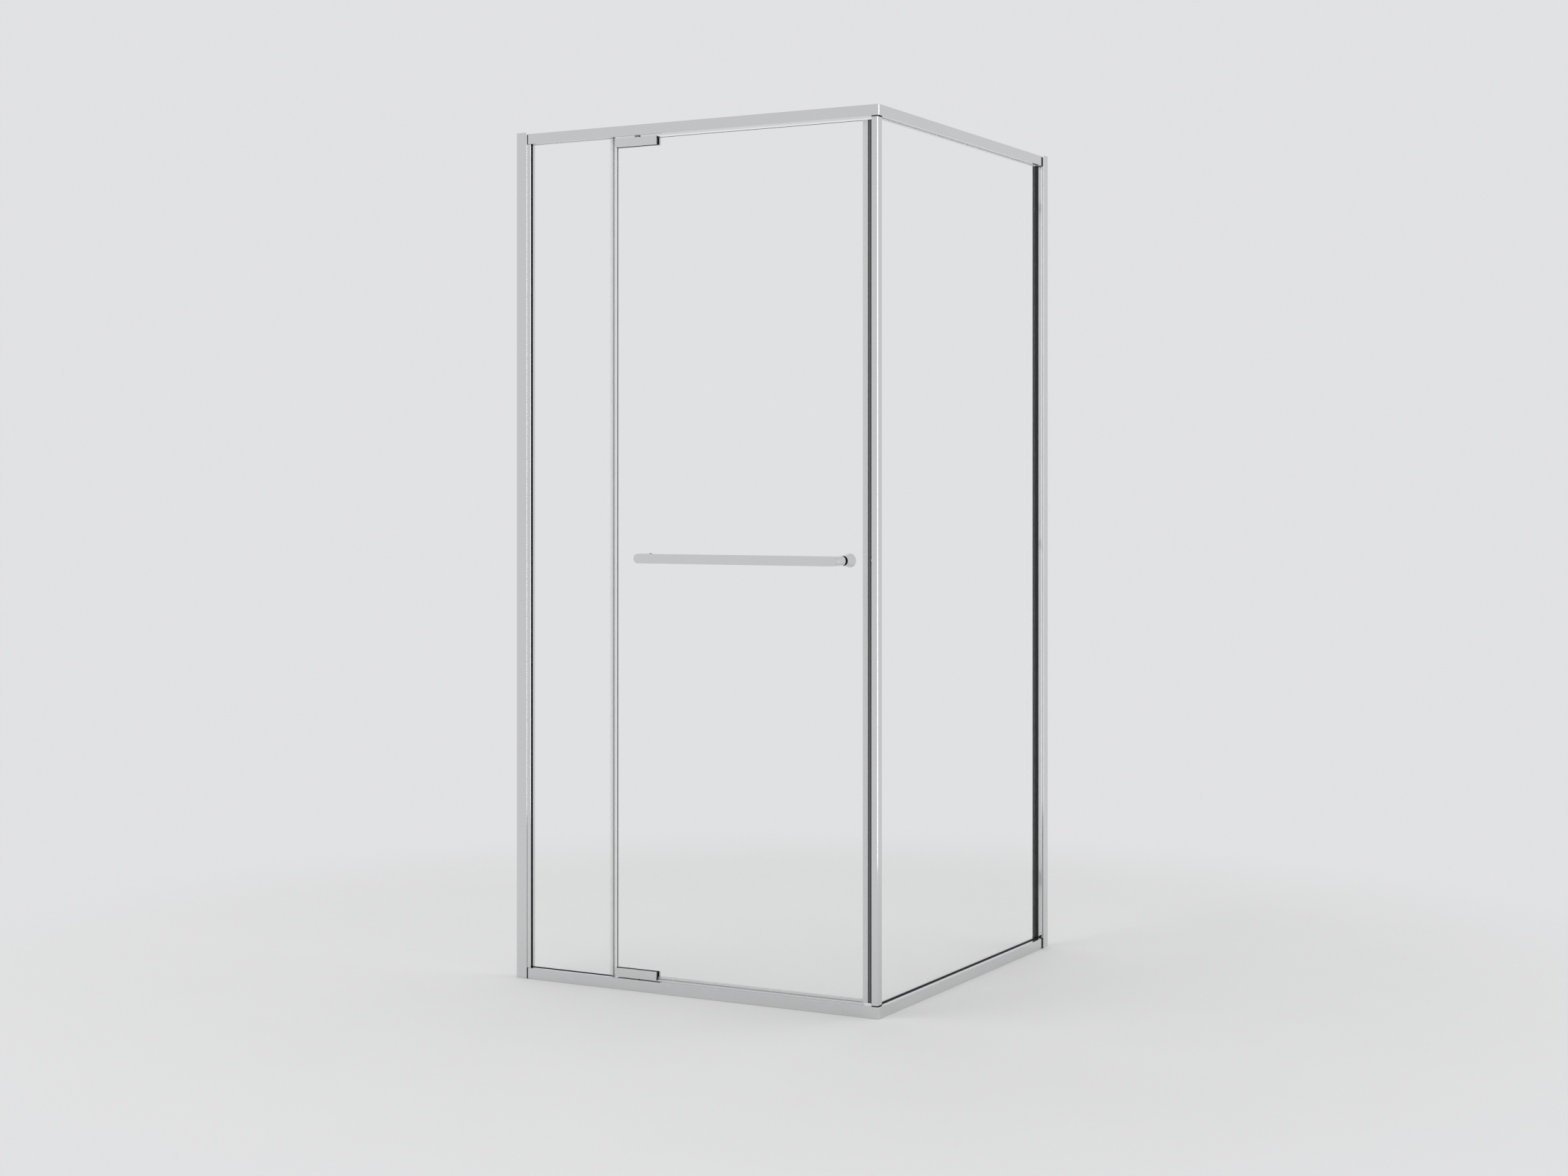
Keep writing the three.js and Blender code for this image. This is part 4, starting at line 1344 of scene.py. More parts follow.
@dataclass
class Rails(SubAssembly):
    """Head rail and sill of both runs, mitred at the corner, with keys and infill strips."""

    wall: float = 1.6
    edge: float = 0.9
    corner_radius: float = 2.6
    mitre_gap: float = 0.05
    end_arris: float = 0.25
    key_leg: float = 42.0
    key_round: float = 1.6
    infill_wall: float = 1.5
    infill_leg: float = 11.0
    bush_hole: float = 5.4
    bush_reach: float = 13.0

    def build(self) -> None:
        """Makes the rails, keys and infill strips."""
        s = self.setout
        for run in Run:
            start = s.rail_start(run)
            word = "front" if run is Run.FRONT else "side"
            finish = PROFILE_FRONT if run is Run.FRONT else PROFILE_SIDE
            for end, name in ((End.SILL, "sill"), (End.HEAD, "head_rail")):
                bm = self.rail(end, start)
                if run is Run.SIDE:
                    bm = mirrored(bm, s.width, s.width)
                self.dress(bm, f"{word}_{name}", finish)
        for end in End:
            self.dress(self.infill(end), f"{end.value}_infill", PROFILE_FRONT)
            self.dress(self.key(end), f"{end.value}_corner_key", KEY_METAL)

    def levels(self, end: End) -> tuple[float, float, float]:
        """Gives a rail's heights.

        Args:
            end: Whether it is a sill or a head rail.

        Returns:
            Its outer face, its inner face, and the direction between them.
        """
        s = self.setout
        if end is End.SILL:
            return 0.0, s.sill_face, 1.0
        return s.rail_top, s.head_face, -1.0

    def sections(self, end: End) -> list[Loop]:
        """Draws a rail's section.

        Args:
            end: Whether it is a sill or a head rail.

        Returns:
            Its outline and its hollow, as (depth, height) loops.
        """
        s, w = self.setout, self.wall
        outer, face, up = self.levels(end)
        floor = face - up * s.groove_depth
        rim, ledge, under = face - up * w, outer + up * w, floor - up * w
        front, back, deep = s.groove_front, s.groove_back, s.frame_depth
        body = outline([
            (0, outer, self.edge), (deep, outer, self.edge), (deep, face, self.edge),
            (back, face, EASED), (back, floor, SOFT), (front, floor, SOFT), (front, face, EASED),
            (0, face, self.edge),
        ])
        hollow = outline([
            (w, ledge, SOFT), (w, rim, SOFT), (front - w, rim, SOFT), (front - w, under, SOFT),
            (back + w, under, SOFT), (back + w, rim, SOFT), (deep - w, rim, SOFT),
            (deep - w, ledge, SOFT),
        ])
        return [body, hollow]

    def rail(self, end: End, start: float) -> Shape:
        """Makes a rail from its wall end round to the mitre.

        Args:
            end: Whether it is a sill or a head rail.
            start: Where its wall end lies along the front run.

        Returns:
            The rail.
        """
        s, radius, soft = self.setout, self.corner_radius, self.end_arris
        bm = bmesh.new()
        firsts, lasts = [], []
        for number, section in enumerate(self.sections(end)):
            loop = cut_across(section, radius)
            sign = 1 if number == 0 else -1
            rings = []
            for reach, shrink in ((0.0, soft), (soft, 0.0)):
                rings.append([bm.verts.new((start + reach, a, b))
                              for a, b in inset(loop, sign * shrink)])
            for step in range(FINE_STEPS + 1):
                angle = math.pi / 4 * step / FINE_STEPS
                gap = self.mitre_gap if step == FINE_STEPS else 0.0
                ring = []
                for a, b in loop:
                    bend = radius - a
                    if bend > TINY:
                        x = s.width - radius + bend * math.sin(angle) - gap
                        ring.append(bm.verts.new((x, radius - bend * math.cos(angle), b)))
                    else:
                        ring.append(bm.verts.new((s.width - a - self.mitre_gap, a, b)))
                rings.append(ring)
            for near, far in pairwise(rings):
                bridge(bm, near, far)
            firsts.append(rings[0])
            lasts.append(rings[-1])
        cap(bm, firsts)
        cap(bm, lasts)
        bmesh.ops.remove_doubles(bm, verts=bm.verts, dist=WELD)
        bmesh.ops.recalc_face_normals(bm, faces=bm.faces)
        return bm

    def infill(self, end: End) -> Shape:
        """Makes the strip that closes a rail's groove at the door, with the bush's hole.

        Args:
            end: Which rail it is for.

        Returns:
            The strip.
        """
        s, w = self.setout, self.infill_wall
        inward = -end.inward
        face = s.face(end)
        front, back = s.groove_front + SLIP, s.groove_back - SLIP
        web, foot = face + inward * w, face + inward * self.infill_leg
        section = outline([
            (front, face, EASED), (back, face, EASED), (back, foot, SOFT), (back - w, foot, SOFT),
            (back - w, web, SOFT), (front + w, web, SOFT), (front + w, foot, SOFT),
            (front, foot, SOFT),
        ])
        strip = extruded([section], s.fixed_right + SEAT, s.post_left - SEAT, Along.WIDTH)
        hole = rod(self.bush_hole, face - self.bush_reach, face + self.bush_reach,
                   (s.pivot, s.centre), Along.HEIGHT, TURNED_STEPS)
        return combined(strip, [hole])

    def key(self, end: End) -> Shape:
        """Makes the cast key that joins two mitred rails.

        Args:
            end: Which rails it is for.

        Returns:
            The key.
        """
        s = self.setout
        outer = self.wall + SEAT
        inner = s.groove_front - self.wall - SEAT
        leg = s.width - self.key_leg
        low = outer if end is End.SILL else s.head_face + outer
        high = s.sill_face - outer if end is End.SILL else s.rail_top - outer
        w = s.width
        return drawn([
            (leg, outer, BROAD), (w - outer, outer, self.key_round),
            (w - outer, self.key_leg, BROAD), (w - inner, self.key_leg, BROAD),
            (w - inner, inner, BROAD), (leg, inner, BROAD),
        ], low, high, arris=FULL)


@dataclass
class FixedPanes(SubAssembly):
    """The two fixed panes, their groove gaskets and the seal towards the door."""

    arris: float = 0.45
    side_proud: float = 0.4
    pad_gap: float = 1.8
    pad_lap: float = 2.0
    pad_sides: tuple[float, float] = (5.0, 20.0)
    gasket_bed: float = 3.5
    seal_wall: float = 0.9
    seal_grip: float = 8.0
    fin_gap: float = 1.5
    fin_round: float = 0.42

    def build(self) -> None:
        """Makes the panes, gaskets and seal."""
        s = self.setout
        self.dress(self.pane(s.fixed_right), "fixed_glass", CLEAR_GLASS, GLASS_EDGE)
        side = mirrored(self.pane(s.depth - s.side_glass_start), s.width, s.depth)
        self.dress(side, "side_glass", CLEAR_GLASS, GLASS_EDGE)
        start = s.rail_start(Run.SIDE) + SEAT
        for end in End:
            low, high = s.rail_start(Run.FRONT) + SEAT, s.fixed_right
            gasket = extruded([self.gasket_section(end, 0.0)], low, high, Along.WIDTH)
            # Head gaskets take the grey that is lightened with painted light against the shade
            # under the head rail.
            finish = RUBBER if end is End.SILL else LIFTED_GREY_GASKET
            self.dress(gasket, f"fixed_{end.value}_gasket", finish)
            side = mirrored(self.side_gasket(end, start), s.width, s.width)
            self.dress(side, f"side_{end.value}_gasket", finish, RUBBER)
        self.dress(self.inline_seal(), "inline_seal", CLEAR_VINYL)

    def pane(self, far: float) -> Shape:
        """Makes a pane with ground edges, which take the second finish.

        Args:
            far: Where it ends, from the wall.

        Returns:
            The pane.
        """
        s = self.setout
        loop = box_loop(s.fixed_left, far, s.glass_low, s.glass_high, WIDE)
        bm = extruded([loop], s.glass_front, s.glass_back, Along.DEPTH, self.arris)
        return second_finish(bm, ground_edge)

    def gasket_section(self, end: End, proud: float) -> Loop:
        """Draws the section of a gasket in a rail's groove.

        Args:
            end: Which rail it is in.
            proud: How far it stands out of the groove.

        Returns:
            The outline.
        """
        s, inward, face = self.setout, -end.inward, self.setout.face(end)
        top, bed = face - inward * proud, face + inward * (s.bite + SLIP)
        bottom = face + inward * (s.bite + self.gasket_bed)
        front, back = s.groove_front + SLIP, s.groove_back - SLIP
        near, far = s.grip
        return outline([
            (front, bottom, SOFT), (back, bottom, SOFT), (back, top, SOFT), (far, top, SOFT),
            (far, bed), (near, bed), (near, top, SOFT), (front, top, SOFT),
        ])

    def side_gasket(self, end: End, start: float) -> Shape:
        """Makes a side gasket, whose thin pad at the post's end has the second finish.

        Args:
            end: Which rail it is in.
            start: Where it starts along the front run.

        Returns:
            The gasket.
        """
        s, up = self.setout, end.inward
        post = s.width - s.post_back - SEAT
        section = self.gasket_section(end, self.side_proud)
        lips = extruded([section], start, post, Along.WIDTH)
        face, lap = s.face(end), post - self.pad_lap
        levels = sorted((face + up * SLIP, face + up * (self.pad_gap - SLIP)))
        front, back = self.pad_sides
        pad = block((lap, s.width - s.post_front - SEAT), (front + SEAT, back - SEAT), levels,
                    SEAL_ARRIS)
        slot = block((lap - OVERRUN, s.width - s.side_glass_start + SEAT), s.grip,
                     (levels[0] - OVERRUN, levels[1] + OVERRUN))
        gasket = combined(lips, [combined(pad, [slot])], "UNION")
        return second_finish(gasket, lambda part: part.calc_center_median().x > lap - SEAT)

    def inline_seal(self) -> Shape:
        """Makes the clear clip on the fixed pane, whose fin bridges the gap to the door.

        Returns:
            The clip.
        """
        s, w = self.setout, self.seal_wall
        grip, inside = s.fixed_right - self.seal_grip, s.fixed_right + FIT
        web, fin = inside + w, s.door_left - self.fin_gap
        front, back = s.grip
        return drawn([
            (grip, front - w, ROUND), (fin, front - w, self.fin_round),
            (fin, front, self.fin_round), (web, front, GENTLE), (web, back + w, EASED),
            (grip, back + w, ROUND), (grip, back, SOFT), (inside, back), (inside, front),
            (grip, front, SOFT),
        ], *s.clear_height, arris=SEAL_ARRIS)


@dataclass
class CornerPost(SubAssembly):
    """The post at the free corner, with the side pane's gasket and the magnetic strip."""

    low: float = 26.8
    high: float = 1875.2
    wall: float = 1.6
    edge: float = 1.4
    magnet_left: float = 882.9
    magnet_nose_end: float = 885.1
    groove_width: float = 0.3
    groove_depth: float = 0.35

    def build(self) -> None:
        """Makes the post's three pieces."""
        self.dress(self.post(), "corner_post", PROFILE_UPRIGHT)
        self.dress(self.gasket(), "post_gasket", RUBBER)
        self.dress(self.magnet(), "post_magnet_strip", RUBBER, MAGNET_NOSE_HIGHLIGHT)

    def post(self) -> Shape:
        """Makes the three-sided post.

        Returns:
            The post.
        """
        s, w = self.setout, self.wall
        left, right, front, back = s.post_left, s.post_right, s.post_front, s.post_back
        return drawn([
            (left, front, self.edge), (right, front, self.edge), (right, back, ROUND),
            (right - w, back, ROUND), (right - w, front + w, SOFT), (left + w, front + w, SOFT),
            (left + w, back, ROUND), (left, back, ROUND),
        ], self.low, self.high)

    def gasket(self) -> Shape:
        """Makes the gasket between the side pane and the post.

        Returns:
            The gasket.
        """
        s = self.setout
        left, outer = s.post_left + self.wall + SLIP, s.post_right - self.wall - SLIP
        near, glass = s.post_front + self.wall + SLIP, s.width - s.glass_front + FIT
        return drawn([
            (left, near, ROUND), (outer, near, ROUND), (outer, s.post_back, FULL),
            (glass, s.post_back, SOFT), (glass, s.side_glass_start - SLIP),
            (left, s.side_glass_start - SLIP, ROUND),
        ], self.low, self.high)

    def magnet(self) -> Shape:
        """Makes the magnetic strip, whose nose is painted grey as the highlight where the two black
        strips meet.

        Returns:
            The strip.
        """
        s = self.setout
        left, nose_end, right = self.magnet_left, self.magnet_nose_end, s.post_left - SLIP
        front, back = s.magnet_faces
        groove, deep = nose_end + self.groove_width, self.groove_depth
        section = outline([
            (left, front, s.magnet_round), (nose_end, front, CRISP), (nose_end, front + deep),
            (groove, front + deep), (groove, front, CRISP), (right, front), (right, back),
            (groove, back, CRISP), (groove, back - deep), (nose_end, back - deep), (nose_end, back, CRISP),
            (left, back, s.magnet_round),
        ])
        bm = extruded([section], s.door_low, s.door_high, arris=SEAL_ARRIS)
        return second_finish(bm, lambda part: part.calc_center_median().x < nose_end + HAIR)


@dataclass
class DoorLeaf(SubAssembly):
    """The door's glass with the strips on its edges."""

    arris: float = 0.45
    hole: float = 7.0
    strike_face: float = 879.2
    strike_grip: float = 10.0
    strike_wall: float = 1.4
    magnet_width: float = 3.1
    magnet_nose: float = 1.1
    drip_wall: float = 0.9
    drip_grip: float = 6.5
    drip_fin: float = 1.4

    def build(self) -> None:
        """Makes the door's pane and its three strips."""
        self.dress(self.pane(), "door_glass", CLEAR_GLASS, GLASS_EDGE)
        self.dress(self.strike(), "strike_strip", GREY_VINYL)
        self.dress(self.magnet(), "door_magnet_strip", RUBBER, MAGNET_NOSE_HIGHLIGHT)
        self.dress(self.drip(), "drip_seal", CLEAR_VINYL)

    def pane(self) -> Shape:
        """Makes the pane with its pivot notches and handle holes.

        Returns:
            The pane.
        """
        s = self.setout
        left, right = s.pivot - s.notch_half, s.pivot + s.notch_half
        low, high, deep = s.door_low, s.door_high, s.notch_depth
        loop = outline([
            (s.door_left, low, WIDE), (left, low), (left, low + deep), (right, low + deep),
            (right, low), (s.door_right, low, WIDE), (s.door_right, high, WIDE), (right, high),
            (right, high - deep), (left, high - deep), (left, high), (s.door_left, high, WIDE),
        ])
        holes = [circle((place, s.handle_height), self.hole, TURNED_STEPS)
                 for place in s.handle_places]
        bm = extruded([loop, *holes], s.glass_front, s.glass_back, Along.DEPTH, self.arris)
        return second_finish(bm, ground_edge)

    def strike(self) -> Shape:
        """Makes the grey carrier on the closing edge.

        Returns:
            The carrier.
        """
        s, w, face = self.setout, self.strike_wall, self.strike_face
        grip, inside = s.door_right - self.strike_grip, s.door_right + FIT
        front, back = s.grip
        return drawn([
            (grip, front - w, BROAD), (face, front - w, BROAD), (face, back + w, BROAD),
            (grip, back + w, BROAD), (grip, back, SOFT), (inside, back), (inside, front),
            (grip, front, SOFT),
        ], s.door_low, s.door_high, arris=SEAL_ARRIS)

    def magnet(self) -> Shape:
        """Makes the magnetic strip on the carrier, whose nose is painted grey as the highlight
        where the two black strips meet.

        Returns:
            The strip.
        """
        s = self.setout
        left = self.strike_face + SLIP
        right = left + self.magnet_width
        nose = right - self.magnet_nose
        loop = box_loop(left, right, *s.magnet_faces, s.magnet_round)
        bm = extruded([cut_across(loop, nose)], s.door_low, s.door_high, arris=SEAL_ARRIS)
        return second_finish(bm, lambda part: part.calc_center_median().x > nose
                             and abs(part.normal.z) < ENDWISE)

    def drip(self) -> Shape:
        """Makes the clear clip under the door, whose fin hangs to the sill.

        Returns:
            The clip.
        """
        s, w, fin = self.setout, self.drip_wall, self.drip_fin
        under = s.door_low - FIT
        web, top, tip = under - w, under + self.drip_grip, s.sill_face + SEAT
        front, back = s.grip
        return drawn([
            (front - w, web, EASED), (back - fin, web, SOFT), (back, tip, SOFT),
            (back + fin, tip, FULL), (back + w, web, SOFT), (back + w, top, ROUND),
            (back, top, SOFT), (back, under), (front, under), (front, top, SOFT),
            (front - w, top, ROUND),
        ], s.door_left + s.pivot_block + SEAT, s.door_right - self.strike_grip - SEAT,
            Along.WIDTH, SEAL_ARRIS)


@dataclass
class Pivot(SubAssembly):
    """One of the door's two pivots: clamp plates, black body, pin, screws and the rail's bush."""

    end: End = End.SILL
    height: float = 19.0
    sill_clearance: float = 2.0
    head_clearance: float = 3.7
    front: float = 4.25
    front_plate: float = 2.5
    body_front: float = 6.95
    body_back: float = 18.95
    back_plate: float = 19.15
    back: float = 25.75
    back_arris: float = 0.45
    edge: float = 0.8
    pin: float = 4.0
    pin_reach: float = 11.0
    pin_depth: float = 12.0
    bush_wall: float = 1.1
    flange: float = 1.4
    bush_length: float = 13.5
    screw: float = 2.0
    screw_length: float = 17.5
    head: float = 3.8
    head_height: float = 2.0
    head_sink: float = 0.25
    head_round: float = 0.45
    screw_spread: float = 20.0
    socket_depth: float = 1.3
    socket_radius: float = 1.75
    boss: float = 4.0
    boss_length: float = 3.2
    boss_lap: float = 1.0

    @property
    def clearance(self) -> float:
        """Returns the gap between the block and the rail's face."""
        return self.sill_clearance if self.end is End.SILL else self.head_clearance

    @property
    def levels(self) -> tuple[float, float]:
        """Works out the block's heights.

        Returns:
            Its foot and head.
        """
        near = self.setout.face(self.end) + self.end.inward * self.clearance
        low, high = sorted((near, near + self.end.inward * self.height))
        return low, high

    @property
    def screws(self) -> list[tuple[float, float]]:
        """Works out where the clamp screws sit.

        Returns:
            Their places across their axes.
        """
        s = self.setout
        height = s.door_edge(self.end) + self.end.inward * s.notch_depth / 2
        return [(s.pivot + side * self.screw_spread, height) for side in (-1, 1)]

    def build(self) -> None:
        """Makes the pivot's seven pieces."""
        word = f"{self.end.value}_pivot"
        self.dress(self.front_slab(), f"{word}_front_plate", CHROME)
        self.dress(self.back_slab(), f"{word}_back_plate", CHROME)
        self.dress(self.body(), f"{word}_clamp_body", NYLON)
        self.dress(self.pin_bar(), f"{word}_pin", STEEL)
        for number, centre in enumerate(self.screws, 1):
            self.dress(self.clamp_screw(centre), f"{word}_screw_{number}", STEEL)
        self.dress(self.bush(), f"{word}_bush", PALE_NYLON)

    def slab(self, near: float, far: float, soft: float) -> Shape:
        """Makes a plate of the block's outline between two depths.

        Args:
            near: Its front.
            far: Its back.
            soft: Size of its softened edges.

        Returns:
            The plate.
        """
        s = self.setout
        loop = box_loop(s.door_left, s.door_left + s.pivot_block, *self.levels, self.edge)
        return extruded([loop], near, far, Along.DEPTH, soft)

    def front_slab(self) -> Shape:
        """Makes the chrome front plate with the tapped bosses behind it.

        Returns:
            The plate.
        """
        rear = self.front + self.front_plate
        plate = self.slab(self.front, rear, EASED)
        bosses = [rod(self.boss, rear - self.boss_lap, rear + self.boss_length, centre, Along.DEPTH)
                  for centre in self.screws]
        bores = [rod(self.screw + FIT, rear, rear + self.boss_length + OVERRUN, centre,
                     Along.DEPTH) for centre in self.screws]
        return combined(combined(plate, bosses, "UNION"), bores)

    def back_slab(self) -> Shape:
        """Makes the chrome back plate with its sunk screw holes.

        Returns:
            The plate.
        """
        seat = self.back - self.head_height - SLIP
        holes = [turned([
            (0, self.back_plate - OVERRUN), (self.screw + SLIP, self.back_plate - OVERRUN),
            (self.screw + SLIP, seat), (self.head + SLIP, seat),
            (self.head + SLIP, self.back + OVERRUN), (0, self.back + OVERRUN),
        ], centre, Along.DEPTH, SMALL_STEPS) for centre in self.screws]
        return combined(self.slab(self.back_plate, self.back, self.back_arris), holes)

    def body(self) -> Shape:
        """Makes the black body that wraps the glass edge and fills its notch.

        Returns:
            The body.
        """
        s, up = self.setout, self.end.inward
        left, right = s.door_left, s.door_left + s.pivot_block
        low, high = self.levels
        whole = block((left, right), (self.body_front, self.body_back), (low, high), SOFT)
        edge = s.door_edge(self.end)
        near, far = edge - up * SLIP, edge + up * (self.height + OVERRUN)
        top = edge + up * (s.notch_depth - SLIP)
        inner = s.notch_half - SLIP
        slot = extruded([[
            (left - OVERRUN, near), (s.pivot - inner, near), (s.pivot - inner, top),
            (s.pivot + inner, top), (s.pivot + inner, near), (right + OVERRUN, near),
            (right + OVERRUN, far), (left - OVERRUN, far),
        ]], *s.grip, Along.DEPTH, 0.0)
        sunk = self.front + self.front_plate + self.boss_length + SLIP
        holes = [turned([
            (0, self.body_front - OVERRUN), (self.boss + SLIP, self.body_front - OVERRUN),
            (self.boss + SLIP, sunk), (self.screw + SLIP, sunk),
            (self.screw + SLIP, self.body_back + OVERRUN), (0, self.body_back + OVERRUN),
        ], centre, Along.DEPTH, SMALL_STEPS) for centre in self.screws]
        face = s.face(self.end)
        reach = face + up * (self.clearance + self.pin_reach + SEAT)
        bore = rod(self.pin + FIT, *sorted((face, reach)), (s.pivot, s.centre), Along.HEIGHT)
        return combined(whole, [slot, bore, *holes])

    def upright(self, profile: Sequence[Sequence[float]]) -> Shape:
        """Turns a piece about the pivot.

        Args:
            profile: Corners as (radius, place) or (radius, place, rounding), from the rail's face.

        Returns:
            The piece.
        """
        s, up, face = self.setout, self.end.inward, self.setout.face(self.end)
        placed = [(point[0], face + up * point[1], *point[2:]) for point in profile]
        return turned(placed, (s.pivot, s.centre), Along.HEIGHT)

    def pin_bar(self) -> Shape:
        """Makes the pivot pin.

        Returns:
            The pin.
        """
        top = self.clearance + self.pin_reach
        return self.upright([(0, -self.pin_depth), (self.pin, -self.pin_depth, FULL),
                             (self.pin, top), (0, top)])

    def bush(self) -> Shape:
        """Makes the flanged bush in the rail.

        Returns:
            The bush.
        """
        bore = self.pin + FIT
        outer, crown = bore + self.bush_wall, FIT + self.flange
        rim = outer + self.flange
        return self.upright([
            (bore, -self.bush_length, FINE), (outer, -self.bush_length, SOFT), (outer, FIT, CRISP),
            (rim, FIT, FINE), (rim, crown, ROUND), (bore, crown, GENTLE),
        ])

    def clamp_screw(self, centre: tuple[float, float]) -> Shape:
        """Makes a clamp screw with a key socket in its head.

        Args:
            centre: Its place across its axis.

        Returns:
            The screw.
        """
        crown = self.back - self.head_sink
        seat, tip = self.back - self.head_height, crown - self.screw_length
        body = turned([
            (0, tip), (self.screw, tip, FULL), (self.screw, seat, CRISP), (self.head, seat, FINE),
            (self.head, crown, self.head_round), (0, crown),
        ], centre, Along.DEPTH, SMALL_STEPS)
        return combined(body, [hex_socket(centre, crown, self.socket_depth, self.socket_radius)])


@dataclass
class Handle(SubAssembly):
    """The towel-bar handle, with a knob on the inner side of the glass."""

    bar_height: float = 21.0
    bar_front: float = -36.0
    bar_back: float = -24.0
    bevel: float = 0.9
    spigot: float = 4.0
    spigot_length: float = 6.0
    stud: float = 3.0
    washer_front: float = 9.2
    back_washer: tuple[float, float] = (18.1, 20.1)
    knob_front: float = 20.2
    knob_length: float = 29.5
    knob_radius: float = 15.3
    knob_bore: float = 18.0
    knob_lip: float = 0.8
    knob_round: float = 1.2
    nut_radius: float = 9.5
    nut_length: float = 6.0
    nut_bore: float = 4.0
    nut_round: float = 0.9
    sleeve: float = 6.8

    def build(self) -> None:
        """Makes the handle's nine pieces."""
        self.dress(self.bar(), "handle_bar", CHROME)
        words = ("hinge_side", "closing_side")
        ends = (self.knob_front + self.nut_bore - SEAT, self.knob_front + self.knob_bore - SEAT)
        for place, word, stud_end in zip(self.setout.handle_places, words, ends):
            self.dress(self.post(place, stud_end), f"handle_post_{word}", CHROME)
            self.dress(self.grommet(place), f"handle_grommet_{word}", RUBBER)
            self.dress(self.washer(place), f"handle_washer_{word}", RUBBER)
        self.dress(self.nut(), "handle_cap_nut", CHROME)
        self.dress(self.knob(), "handle_knob", CHROME)

    def on_axis(self, place: float, profile: Sequence[Sequence[float]]) -> Shape:
        """Returns a piece turned about a handle post's axis."""
        return turned(profile, (place, self.setout.handle_height), Along.DEPTH)

    def bar(self) -> Shape:
        """Makes the flat bar with round ends and softened edges.

        Returns:
            The bar.
        """
        height, radius = self.setout.handle_height, self.bar_height / 2
        places = self.setout.handle_places
        steps = TURNED_STEPS // 2
        loop: Loop = []
        for place, start in zip(reversed(places), (-math.pi / 2, math.pi / 2)):
            for step in range(steps + 1):
                angle = start + math.pi * step / steps
                loop.append((place + radius * math.cos(angle), height + radius * math.sin(angle)))
        body = extruded([loop], self.bar_front, self.bar_back, Along.DEPTH, self.bevel)
        sockets = [rod(self.spigot + FIT, self.bar_back - self.spigot_length - SEAT,
                       self.bar_back + OVERRUN, (place, height), Along.DEPTH)
                   for place in places]
        return combined(body, sockets)

    def post(self, place: float, stud_end: float) -> Shape:
        """Makes a post with its spigot in the bar and its stud through the glass.

        Args:
            place: Its place along the bar.
            stud_end: Where its stud ends.

        Returns:
            The post.
        """
        radius, rear, seat = self.bar_height / 2, self.bar_back, self.washer_front - FIT
        return self.on_axis(place, [
            (0, rear - self.spigot_length), (self.spigot, rear - self.spigot_length, SOFT),
            (self.spigot, rear + FIT, KEEN), (radius, rear + FIT, ROUND), (radius, seat, FULL),
            (self.stud, seat, CRISP), (self.stud, stud_end, ROUND), (0, stud_end),
        ])

    def grommet(self, place: float) -> Shape:
        """Makes the black washer before the glass with its sleeve through it.

        Args:
            place: Its place along the bar.

        Returns:
            The grommet.
        """
        s, bore, rim = self.setout, self.stud + FIT, self.bar_height / 2
        seat = s.glass_front - FIT
        return self.on_axis(place, [
            (bore, self.washer_front, CRISP), (rim, self.washer_front, EASED), (rim, seat, EASED),
            (self.sleeve, seat, KEEN), (self.sleeve, s.glass_back, FINE),
            (bore, s.glass_back, CRISP),
        ])

    def washer(self, place: float) -> Shape:
        """Makes the black washer behind the glass.

        Args:
            place: Its place along the bar.

        Returns:
            The washer.
        """
        bore, rim = self.stud + FIT, self.bar_height / 2
        near, far = self.back_washer
        return self.on_axis(place, [
            (bore, near, CRISP), (rim, near, EASED), (rim, far, EASED), (bore, far, CRISP),
        ])

    def knob(self) -> Shape:
        """Makes the flared knob.

        Returns:
            The knob.
        """
        bore, near = self.stud + FIT, self.knob_front
        far, floor = near + self.knob_length, near + self.knob_bore
        radius, lip = self.knob_radius, self.knob_lip
        return self.on_axis(self.setout.handle_places[1], [
            (0, floor), (bore, floor, CRISP), (bore, near, CRISP),
            (self.bar_height / 2, near, ROUND), (radius, far - lip, self.knob_round),
            (radius - lip, far, BROAD), (0, far),
        ])

    def nut(self) -> Shape:
        """Makes the low cap nut on the hinge side.

        Returns:
            The nut.
        """
        bore, near = self.stud + FIT, self.knob_front
        far, floor = near + self.nut_length, near + self.nut_bore
        return self.on_axis(self.setout.handle_places[0], [
            (0, floor), (bore, floor, CRISP), (bore, near, CRISP), (self.nut_radius, near, SOFT),
            (self.nut_radius, far, self.nut_round), (0, far),
        ])


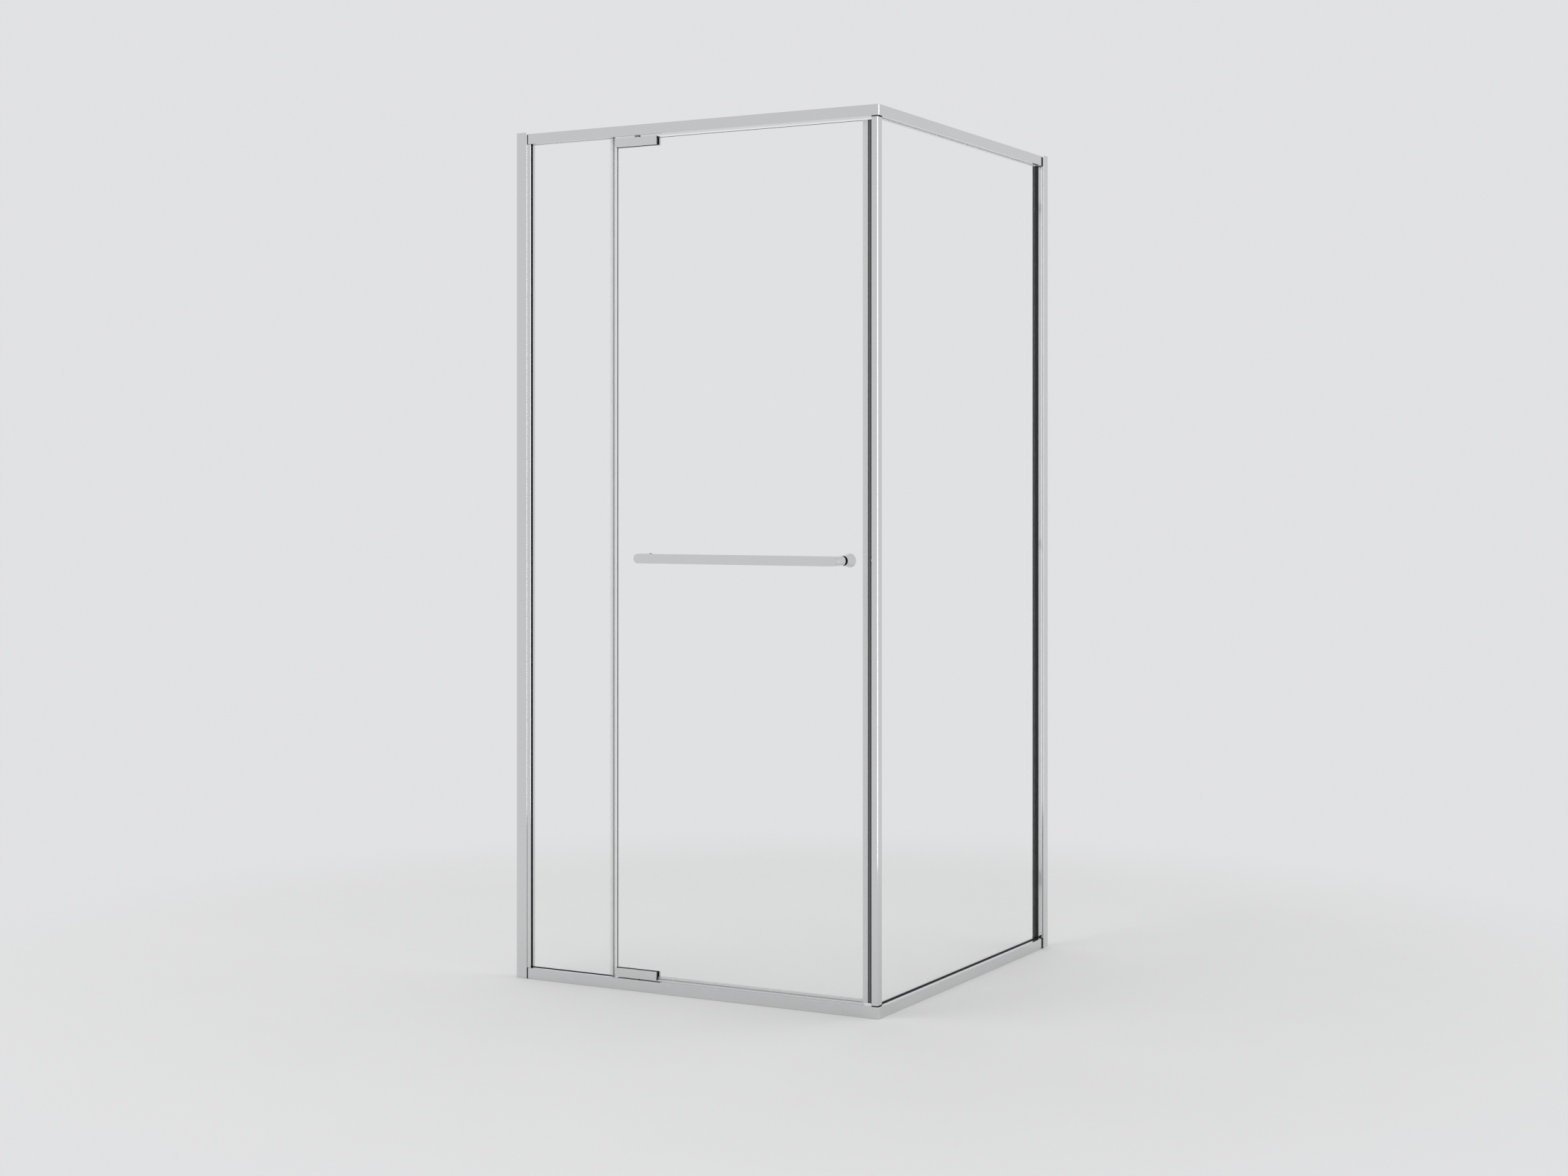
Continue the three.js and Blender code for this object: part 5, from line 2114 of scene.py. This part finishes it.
@dataclass
class Studio:
    """Floor, backdrop, lamps and camera."""

    backdrop: Colour = (0.755, 0.758, 0.77)
    floor_colour: Colour = (0.8, 0.8, 0.79)
    floor_radius: float = 2.6
    floor_segments: int = 96
    floor_roughness: float = 0.75
    floor_ior: float = 1.2
    floor_cloud: float = 0.3
    floor_drift: float = 0.03
    fade: tuple[float, float] = (1.2, 2.3)
    camera_place: tuple[float, float, float] = (2.6564, -4.9005, 1.0895)
    camera_heading: float = 28.5425
    lens: float = 55.018
    sensor: float = 36.0
    lens_shift: float = -0.0597
    aim: tuple[float, float, float] = (0.0, 0.0, 0.9)

    def build(self) -> None:
        """Makes the studio."""
        self.world()
        self.floor()
        self.lamp("key_lamp", Light.WASH, (-1.6, -2.6, 3.9), (2.4, 2.4), 34.0)
        self.lamp("fill_lamp", Light.WASH, (2.4, 0.8, 4.1), (2.0, 2.0), 20.0)
        self.lamp("edge_lamp", Light.STRIP, (3.97, -2.35, 1.1), (2.6, 3.2), 108.0)
        self.camera()
        bpy.context.scene.view_settings.view_transform = "Standard"

    def world(self) -> None:
        """Makes the pale surroundings, which are also the backdrop."""
        world = bpy.data.worlds.new("pale_surroundings")
        world.use_nodes = True
        world.node_tree.nodes["Background"].inputs[0].default_value = (*self.backdrop, 1.0)
        bpy.context.scene.world = world

    def floor(self) -> None:
        """Makes the pale floor, which fades into the backdrop away from the screen."""
        bm = bmesh.new()
        bmesh.ops.create_circle(bm, cap_ends=True, segments=self.floor_segments,
                                radius=self.floor_radius)
        floor = as_object("pale_floor", bm)
        material, board, place, shader, output = start_material("pale_floor")
        drift = board.use(EFFECTS.drift, vector=place, size=self.floor_cloud,
                          amount=self.floor_drift, colour=(*self.floor_colour, 1.0))
        board.feed(shader.inputs["Base Color"], drift.outputs[0])
        shader.inputs["Roughness"].default_value = self.floor_roughness
        shader.inputs["IOR"].default_value = self.floor_ior
        reach = board.add("ShaderNodeVectorMath", operation="LENGTH")
        board.feed(reach.inputs[0], place)
        share = board.spread(reach.outputs["Value"], *self.fade)
        glow = board.add("ShaderNodeEmission")
        glow.inputs["Color"].default_value = (*self.backdrop, 1.0)
        board.blend(share, shader, glow, output)
        floor.data.materials.append(material)

    def lamp(self, name: str, kind: Light, place: tuple[float, float, float],
             size: tuple[float, float], power: float) -> None:
        """Hangs a soft lamp that faces the middle of the screen.

        Args:
            name: Its name.
            kind: What it does.
            place: Where it hangs, in metres.
            size: Its width and height in metres.
            power: Its power in watts.
        """
        light = bpy.data.lights.new(name, "AREA")
        light.shape = "RECTANGLE"
        light.size, light.size_y = size
        light.energy = power
        lamp = in_scene(name, light)
        lamp.visible_camera = False
        lamp.visible_transmission = False
        lamp.visible_diffuse = kind is Light.WASH
        lamp.visible_glossy = kind is Light.STRIP
        lamp.location = place
        aim = Vector(self.aim) - Vector(place)
        lamp.rotation_euler = aim.to_track_quat("-Z", "Y").to_euler()

    def camera(self) -> None:
        """Sets up the camera level, with its shift for the framing."""
        camera = bpy.data.cameras.new("camera")
        camera.lens = self.lens
        camera.sensor_width = self.sensor
        camera.shift_y = self.lens_shift
        holder = in_scene("camera", camera)
        holder.location = self.camera_place
        holder.rotation_euler = (math.pi / 2, 0.0, math.radians(self.camera_heading))
        bpy.context.scene.camera = holder


def main() -> None:
    """Builds the screen and its studio."""
    logging.basicConfig(level=logging.INFO, format="%(message)s")
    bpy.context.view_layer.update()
    setout, finishes = Setout(), Finishes()
    parts: list[SubAssembly] = [
        WallSide(setout, finishes, run=Run.FRONT),
        WallSide(setout, finishes, run=Run.SIDE),
        Rails(setout, finishes),
        FixedPanes(setout, finishes),
        CornerPost(setout, finishes),
        DoorLeaf(setout, finishes),
        Pivot(setout, finishes, end=End.SILL),
        Pivot(setout, finishes, end=End.HEAD),
        Handle(setout, finishes),
    ]
    for part in parts:
        part.build()
        log.info("%s built with %d pieces", type(part).__name__, len(part.pieces))
    Studio().build()


if __name__ == "__main__":
    main()
